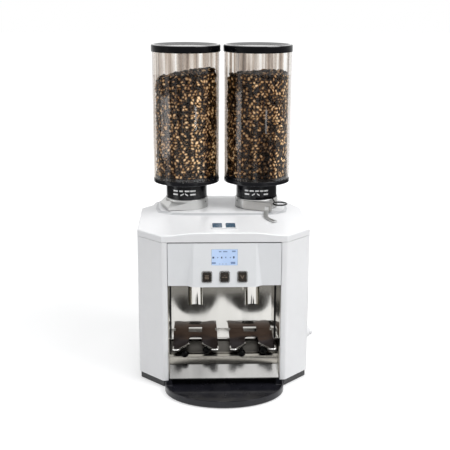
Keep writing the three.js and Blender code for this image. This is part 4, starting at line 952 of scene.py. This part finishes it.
# set screws: degrees round the collar, level in millimetres
SCREWS = {"left": [(-54.5, 311.0), (62.0, 309.0)], "right": [(-67.5, 310.0)]}
SCREW_RADIUS = 1.4
SCREW_LIFT = 0.00015
SCREW_THICK = 0.0005


def round_length(degrees, radius):
    """Length in millimetres of an arc."""
    return radius / MM * math.radians(degrees)


def add_display_marks():
    place = face_place("display_window")
    for name, (material, marks) in DISPLAY_MARKS.items():
        shapes = [box_shape(*mark) for mark in marks]
        add_marks(f"display_marks_{name}", shapes, place, material, "housing")


def add_button_marks():
    for name, shapes in BUTTON_MARKS.items():
        node = f"button_{name}"
        add_marks(f"button_mark_{name}", shapes, face_place(node), mark_brown, node)


def add_neck_marks(side):
    shapes = []
    for level, dashes in zip(NECK_LEVELS, NECK_DASHES[side]):
        for turns in dashes:
            start, end = (round_length(turn, NECK_RADIUS) for turn in turns)
            width = (end - start) / DASH_PARTS
            shapes.extend(box_shape(start + width * (part + 0.5), level, width, DASH_HEIGHT,
                                    DASH_CORNER) for part in range(DASH_PARTS))
    level = NECK_LEVELS[1]
    for start, end, way in NECK_STROKES[side]:
        a, b = round_length(start, NECK_RADIUS), round_length(end, NECK_RADIUS)
        rise = STROKE_RISE * way
        shapes.append([(a, level - rise - STROKE_HALF), (b, level + rise - STROKE_HALF),
                       (b, level + rise + STROKE_HALF), (a, level - rise + STROKE_HALF)])
    place = round_place(f"hopper_tube_{side}", NECK_RADIUS)
    add_marks(f"neck_marks_{side}", shapes, place, mark_white, f"collar_{side}",
              thick=NECK_MARK_THICK)


def add_set_screws(side):
    shapes = [round_shape(round_length(turn, COLLAR_RADIUS), level, SCREW_RADIUS)
              for turn, level in SCREWS[side]]
    place = round_place(f"hopper_tube_{side}", COLLAR_RADIUS)
    add_marks(f"set_screws_{side}", shapes, place, black_plastic, f"collar_{side}",
              lift=SCREW_LIFT, thick=SCREW_THICK)


# ---------------------------------------------------------------- bars, dark strips and gates
BAR_STEPS = 10
# a bar's domed end: way along and radius, as shares of the bar's radius
BAR_CAP = [(-0.9, 0.45), (-0.5, 0.85)]
CURVE_STEPS = 6

# front edge of a fork's prong, across and back from the fork's front middle, in millimetres
LIP_PATH = [(40.3, 14), (40.3, 4), (38.6, 1.2), (35, 0.4), (31, 1.0), (23, 12), (14.5, 23.5),
            (12.6, 30)]
LIP_RADIUS = 0.0016
LIP_DROP = 0.0011

# the liner's sheet; its dark corner strips' width, depths before and behind its face, and gaps at
# the ends
LINER_INSIDE = 0.0012
CORNER_STRIP_WIDTH = 0.0024
CORNER_STRIP_DEPTH = (0.0005, 0.0002)
CORNER_STRIP_START = 0.0415
CORNER_STRIP_END = 0.002

# the dark strip, painted shade in the slit: inset at the sides, depths before the fascia's back,
# gaps below and above
SLIT_SHADE_INSET = 0.001
SLIT_SHADE_DEPTH = (0.0030, 0.0015)
SLIT_SHADE_GAPS = (0.0001, 0.0002)

# shut-off gates: direction, then lengths along, aside and up in millimetres
GATE_TURNS = {"left": math.radians(95), "right": math.radians(-48)}
GATE_LEVELS = (317.6, 320.2)
GATE_RADIUS = 28.0
GATE_STEPS = 24
GATE_NOSE = [(10, -26.1), (24, -22), (33, -10), (33, 10), (24, 22), (10, 26.1)]
WIRE_PATH = [(24, 318.9), (34, 318.9), (40.2, 318.7), (42.6, 317.2), (45.6, 313.6),
             (48.9, 310.1)]
WIRE_RADIUS = 0.0013
RING_REACH = 61.6
RING_RADIUS = 12.75
RING_LEVEL = 310.1
RING_STEPS = 48
RING_BAR = 0.0015


def bar_ring(centre, first, second, radius):
    """Points round a bar's middle line, in the plane of two directions."""
    turns = [TURN * step / BAR_STEPS for step in range(BAR_STEPS)]
    return [centre + (first * math.cos(turn) + second * math.sin(turn)) * radius
            for turn in turns]


def swept(path, radius):
    """A round bar with domed ends along a list of points."""
    stations = []
    for i, point in enumerate(path):
        ahead = (path[min(i + 1, len(path) - 1)] - path[max(i - 1, 0)]).normalized()
        aside = ahead.cross(UP).normalized()
        stations.append((point, aside, aside.cross(ahead), ahead, 1.0))
    start, *_, end = stations
    caps = [[(tip[0] + tip[3] * radius * place * way, *tip[1:4], share)
             for place, share in BAR_CAP] for tip, way in ((start, 1), (end, -1))]
    stations = caps[0] + stations + caps[1][::-1]
    points, faces = [], []
    for centre, aside, above, _, share in stations:
        points.extend(bar_ring(centre, aside, above, radius * share))
    for i in range(len(stations) - 1):
        faces.extend(band(i * BAR_STEPS, (i + 1) * BAR_STEPS, BAR_STEPS))
    faces.append(tuple(reversed(range(BAR_STEPS))))
    faces.append(tuple(range(len(points) - BAR_STEPS, len(points))))
    return points, faces


def closed_bar(path, radius):
    """A level ring of round section."""
    points, faces = [], []
    count = len(path)
    for i, point in enumerate(path):
        aside = (path[(i + 1) % count] - path[i - 1]).normalized().cross(UP)
        points.extend(bar_ring(point, aside, UP, radius))
        faces.extend(band(i * BAR_STEPS, (i + 1) % count * BAR_STEPS, BAR_STEPS))
    return points, faces


def curve_through(corners):
    """A smooth line through its points."""
    ends = [corners[0] * 2 - corners[1], *corners, corners[-1] * 2 - corners[-2]]
    line = []
    for i in range(1, len(ends) - 2):
        a, b, c, d = ends[i - 1:i + 3]
        for step in range(CURVE_STEPS):
            t = step / CURVE_STEPS
            line.append(0.5 * (2 * b + (c - a) * t + (2 * a - 5 * b + 4 * c - d) * t * t
                               + (3 * b - a - 3 * c + d) * t ** 3))
    line.append(corners[-1])
    return line


def add_fork_lips(side):
    """The bright front edges of a fork's two prongs."""
    low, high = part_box(f"fork_{side}")
    middle = (low.x + high.x) / 2
    inward = 1 if side == "left" else -1
    for hand, way in (("inner", inward), ("outer", -inward)):
        corners = [Vector((middle + way * u * MM, low.y + v * MM, high.z - LIP_DROP))
                   for u, v in LIP_PATH]
        points, faces = swept(curve_through(corners), LIP_RADIUS)
        add_piece(f"fork_lip_{side}_{hand}", points, faces, lip_steel, "housing")


def add_liner_corner_strips():
    """Dark upright strips in the back corners of the bay."""
    low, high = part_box("bay_liner")
    back = high.y - LINER_INSIDE
    proud, sunk = CORNER_STRIP_DEPTH
    starts = {"left": low.x + LINER_INSIDE, "right": high.x - LINER_INSIDE - CORNER_STRIP_WIDTH}
    for side, x in starts.items():
        points, faces = block((x, back - proud, low.z + CORNER_STRIP_START),
                              (x + CORNER_STRIP_WIDTH, back + sunk, high.z - CORNER_STRIP_END))
        add_piece(f"liner_corner_strip_{side}", points, faces, black_rubber, "housing", smooth=False)


def add_slit_shade():
    """A dark strip that closes the slit between the fascia and the cover: painted shade in the
    slit.
    """
    low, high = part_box("front_fascia")
    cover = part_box("top_cover")[0].z
    front, back = SLIT_SHADE_DEPTH
    under, over = SLIT_SHADE_GAPS
    # painted shade: a black strip in the slit under the cover
    points, faces = block((low.x + SLIT_SHADE_INSET, high.y - front, high.z + under),
                          (high.x - SLIT_SHADE_INSET, high.y - back, cover - over))
    add_piece("cover_slit_shade", points, faces, black_rubber, "housing", smooth=False)


def add_gate(side):
    """The shut-off blade with its finger ring on a bent wire."""
    centre = middle_of(f"hopper_tube_{side}")
    turn = GATE_TURNS[side]
    ahead = Vector((math.cos(turn), math.sin(turn), 0))
    aside = Vector((-math.sin(turn), math.cos(turn), 0))

    def place(u, v, level):
        point = centre + ahead * (u * MM) + aside * (v * MM)
        point.z = level * MM
        return point

    back = [math.pi / 2 + math.pi * i / GATE_STEPS for i in range(GATE_STEPS + 1)]
    outline = [(GATE_RADIUS * math.cos(a), GATE_RADIUS * math.sin(a)) for a in back]
    low, high = GATE_LEVELS
    circle = round_shape(RING_REACH, 0, RING_RADIUS, RING_STEPS)
    ring = [place(u, v, RING_LEVEL) for u, v in circle]
    wire = curve_through([place(u, 0, level) for u, level in WIRE_PATH])
    points, faces = joined([slab(outline + GATE_NOSE, place, high, high - low),
                            swept(wire, WIRE_RADIUS), closed_bar(ring, RING_BAR)])
    blade = add_piece(f"gate_blade_{side}", points, faces, gloss_black, f"gate_{side}")
    soften(blade, 0)
    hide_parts(f"hopper_gate_{side}")


# ---------------------------------------------------------------- pieces
for side in SIDES:
    add_tube(side)
    add_beans(side)
add_display_marks()
add_button_marks()
add_slit_shade()
add_liner_corner_strips()
for side in SIDES:
    add_gate(side)
    add_neck_marks(side)
    add_set_screws(side)
    add_fork_lips(side)

# ---------------------------------------------------------------- floor, cards, lamps, world
MIDDLE = (0, 0, 0.3)
FLOOR_HALF = 12
FLOOR_TONE = (0.62, 0.62, 0.62, 1)
# the floor's glow where it is looked at: two strengths, and their distances from the middle
FLOOR_GLOW = (0.5, 0.8)
FLOOR_REACH = (0.5, 1.6)
WORLD_TONE = (0.97, 0.985, 1, 1)
WORLD_STRENGTH = 0.45

# cards: colours, radii, sectors in degrees from the front, and two tongues on the near card
CARD_LEVEL = 0.002
SECTOR_STEP = 5
NEAR_TONE = (0.36, 0.35, 0.33)
NEAR_REACH = (1.0, 1.5)
NEAR_TURNS = [(-142, -86), (-53, 25), (38, 142)]
SPOUT_TONE = (0.02, 0.018, 0.016)
SPOUT_REACH = (0.30, 0.56)
SPOUT_TURNS = [(-142, -104), (-11, -4.5), (3.5, 24), (92, 142)]
FAR_TONE = (0.045, 0.043, 0.040)
FAR_REACH = (1.5, 6.0)
FAR_TURNS = [(-142, -76), (-60, 142)]
TONGUE_TONE = (0.030, 0.028, 0.026)
TONGUE_MIDDLES = (-0.056, 0.096)
TONGUE_HALF = 0.072
TONGUE_TIP = 0.70
TONGUE_SHOULDER = 1.06
TONGUE_ROOT = 1.07
TONGUE_ROUND = 2.6
TONGUE_STEPS = 12


def add_stage(name, points, faces, material):
    mesh = bpy.data.meshes.new(name)
    mesh.from_pydata(points, [], faces)
    mesh.materials.append(material)
    thing = bpy.data.objects.new(name, mesh)
    bpy.context.scene.collection.objects.link(thing)
    return thing


def add_floor():
    """A white ground that takes soft shadows and fades to plain white."""
    material, tree, shader = new_material("floor")
    reach = add_node(tree, "ShaderNodeVectorMath", {0: object_coords(tree)}, operation="LENGTH")
    glow = spread(tree, reach.outputs["Value"], *FLOOR_GLOW, *FLOOR_REACH)
    fill(tree, shader, {
        "Base Color": FLOOR_TONE, "Roughness": 0.9, "Specular IOR Level": 0.1,
        "Emission Color": PURE_WHITE,
        "Emission Strength": times(tree, seen_by(tree, "Camera", "Transmission", "Glossy"), glow),
    })
    half = FLOOR_HALF
    points = [(-half, -half, 0), (half, -half, 0), (half, half, 0), (-half, half, 0)]
    add_stage("floor", points, [(0, 1, 2, 3)], material)


def ribbon(pairs):
    """A flat strip between two lines of points."""
    points = [point for pair in pairs for point in pair]
    return points, [(a, a + 1, a + 3, a + 2) for a in range(0, len(points) - 2, 2)]


def card_sector(turns, reach):
    """A flat ring sector round the object's front, close above the floor."""
    start, end = turns
    steps = max(2, round((end - start) / SECTOR_STEP))
    pairs = []
    for step in range(steps + 1):
        turn = math.radians(start + (end - start) * step / steps)
        pairs.append([(radius * math.sin(turn), -radius * math.cos(turn), CARD_LEVEL)
                      for radius in reach])
    return ribbon(pairs)


def card_tongue(middle):
    """A rounded end that reaches from the near card towards the bay."""
    pairs = []
    for step in range(TONGUE_STEPS + 1):
        share = 2 * step / TONGUE_STEPS - 1
        x = middle + TONGUE_HALF * share
        y = TONGUE_TIP + (TONGUE_SHOULDER - TONGUE_TIP) * abs(share) ** TONGUE_ROUND
        pairs.append([(x, -TONGUE_ROOT, CARD_LEVEL), (x, -y, CARD_LEVEL)])
    return ribbon(pairs)


def add_card(name, tone, parts):
    """A card that only reflections see."""
    material, tree, shader = new_material(name)
    fill(tree, shader, {
        "Base Color": (0, 0, 0, 1), "Specular IOR Level": 0,
        "Emission Color": (*tone, 1), "Emission Strength": 1,
    })
    card = add_stage(name, *joined(parts), material)
    for ray in ("camera", "diffuse", "transmission", "volume_scatter", "shadow"):
        setattr(card, f"visible_{ray}", False)


def add_lamp(name, place, size, power, target=MIDDLE, lights=True, shows=True):
    """An area lamp; one that doesn't light is only seen in reflections."""
    data = bpy.data.lights.new(name, "AREA")
    data.shape = "RECTANGLE"
    data.size, data.size_y = size
    data.energy = power
    lamp = bpy.data.objects.new(name, data)
    lamp.location = place
    lamp.visible_camera = False
    lamp.visible_diffuse = lights
    lamp.visible_glossy = shows
    lamp.rotation_euler = (Vector(target) - Vector(place)).to_track_quat("-Z", "Y").to_euler()
    bpy.context.scene.collection.objects.link(lamp)


def add_world():
    """A soft sky for light, plain white where it is looked at."""
    world = bpy.data.worlds.new("world")
    bpy.context.scene.world = world
    world.use_nodes = True
    tree = world.node_tree
    plain = find_node(tree, "BACKGROUND")
    fill(tree, plain, {"Color": WORLD_TONE, "Strength": WORLD_STRENGTH})
    white = add_node(tree, "ShaderNodeBackground", {"Color": PURE_WHITE, "Strength": 1.0})
    mix_into_output(tree, "OUTPUT_WORLD", seen_by(tree, "Camera", "Glossy", "Transmission"),
                    plain.outputs["Background"], white.outputs["Background"])


add_floor()
add_card("near_card", NEAR_TONE, [card_sector(turns, NEAR_REACH) for turns in NEAR_TURNS])
add_card("tongue_card", TONGUE_TONE, [card_tongue(middle) for middle in TONGUE_MIDDLES])
add_card("spout_card", SPOUT_TONE, [card_sector(turns, SPOUT_REACH) for turns in SPOUT_TURNS])
add_card("far_card", FAR_TONE, [card_sector(turns, FAR_REACH) for turns in FAR_TURNS])
add_world()
add_lamp("key", (1.5, -0.8, 2.0), (1.4, 1.4), 34)
add_lamp("top", (0, -0.2, 2.4), (1.6, 1.6), 15, shows=False)
add_lamp("front", (-0.2, -2.4, 1.5), (1.8, 1.8), 2, shows=False)
add_lamp("fill", (-1.6, -1.4, 1.4), (1.6, 1.6), 10, shows=False)
add_lamp("window", (-1.10, -0.22, 0.30), (0.74, 0.18), 1.0, lights=False)
add_lamp("spot", (0.52, -0.86, 0.325), (0.13, 0.07), 0.14, (0, 0, 0.325), lights=False)
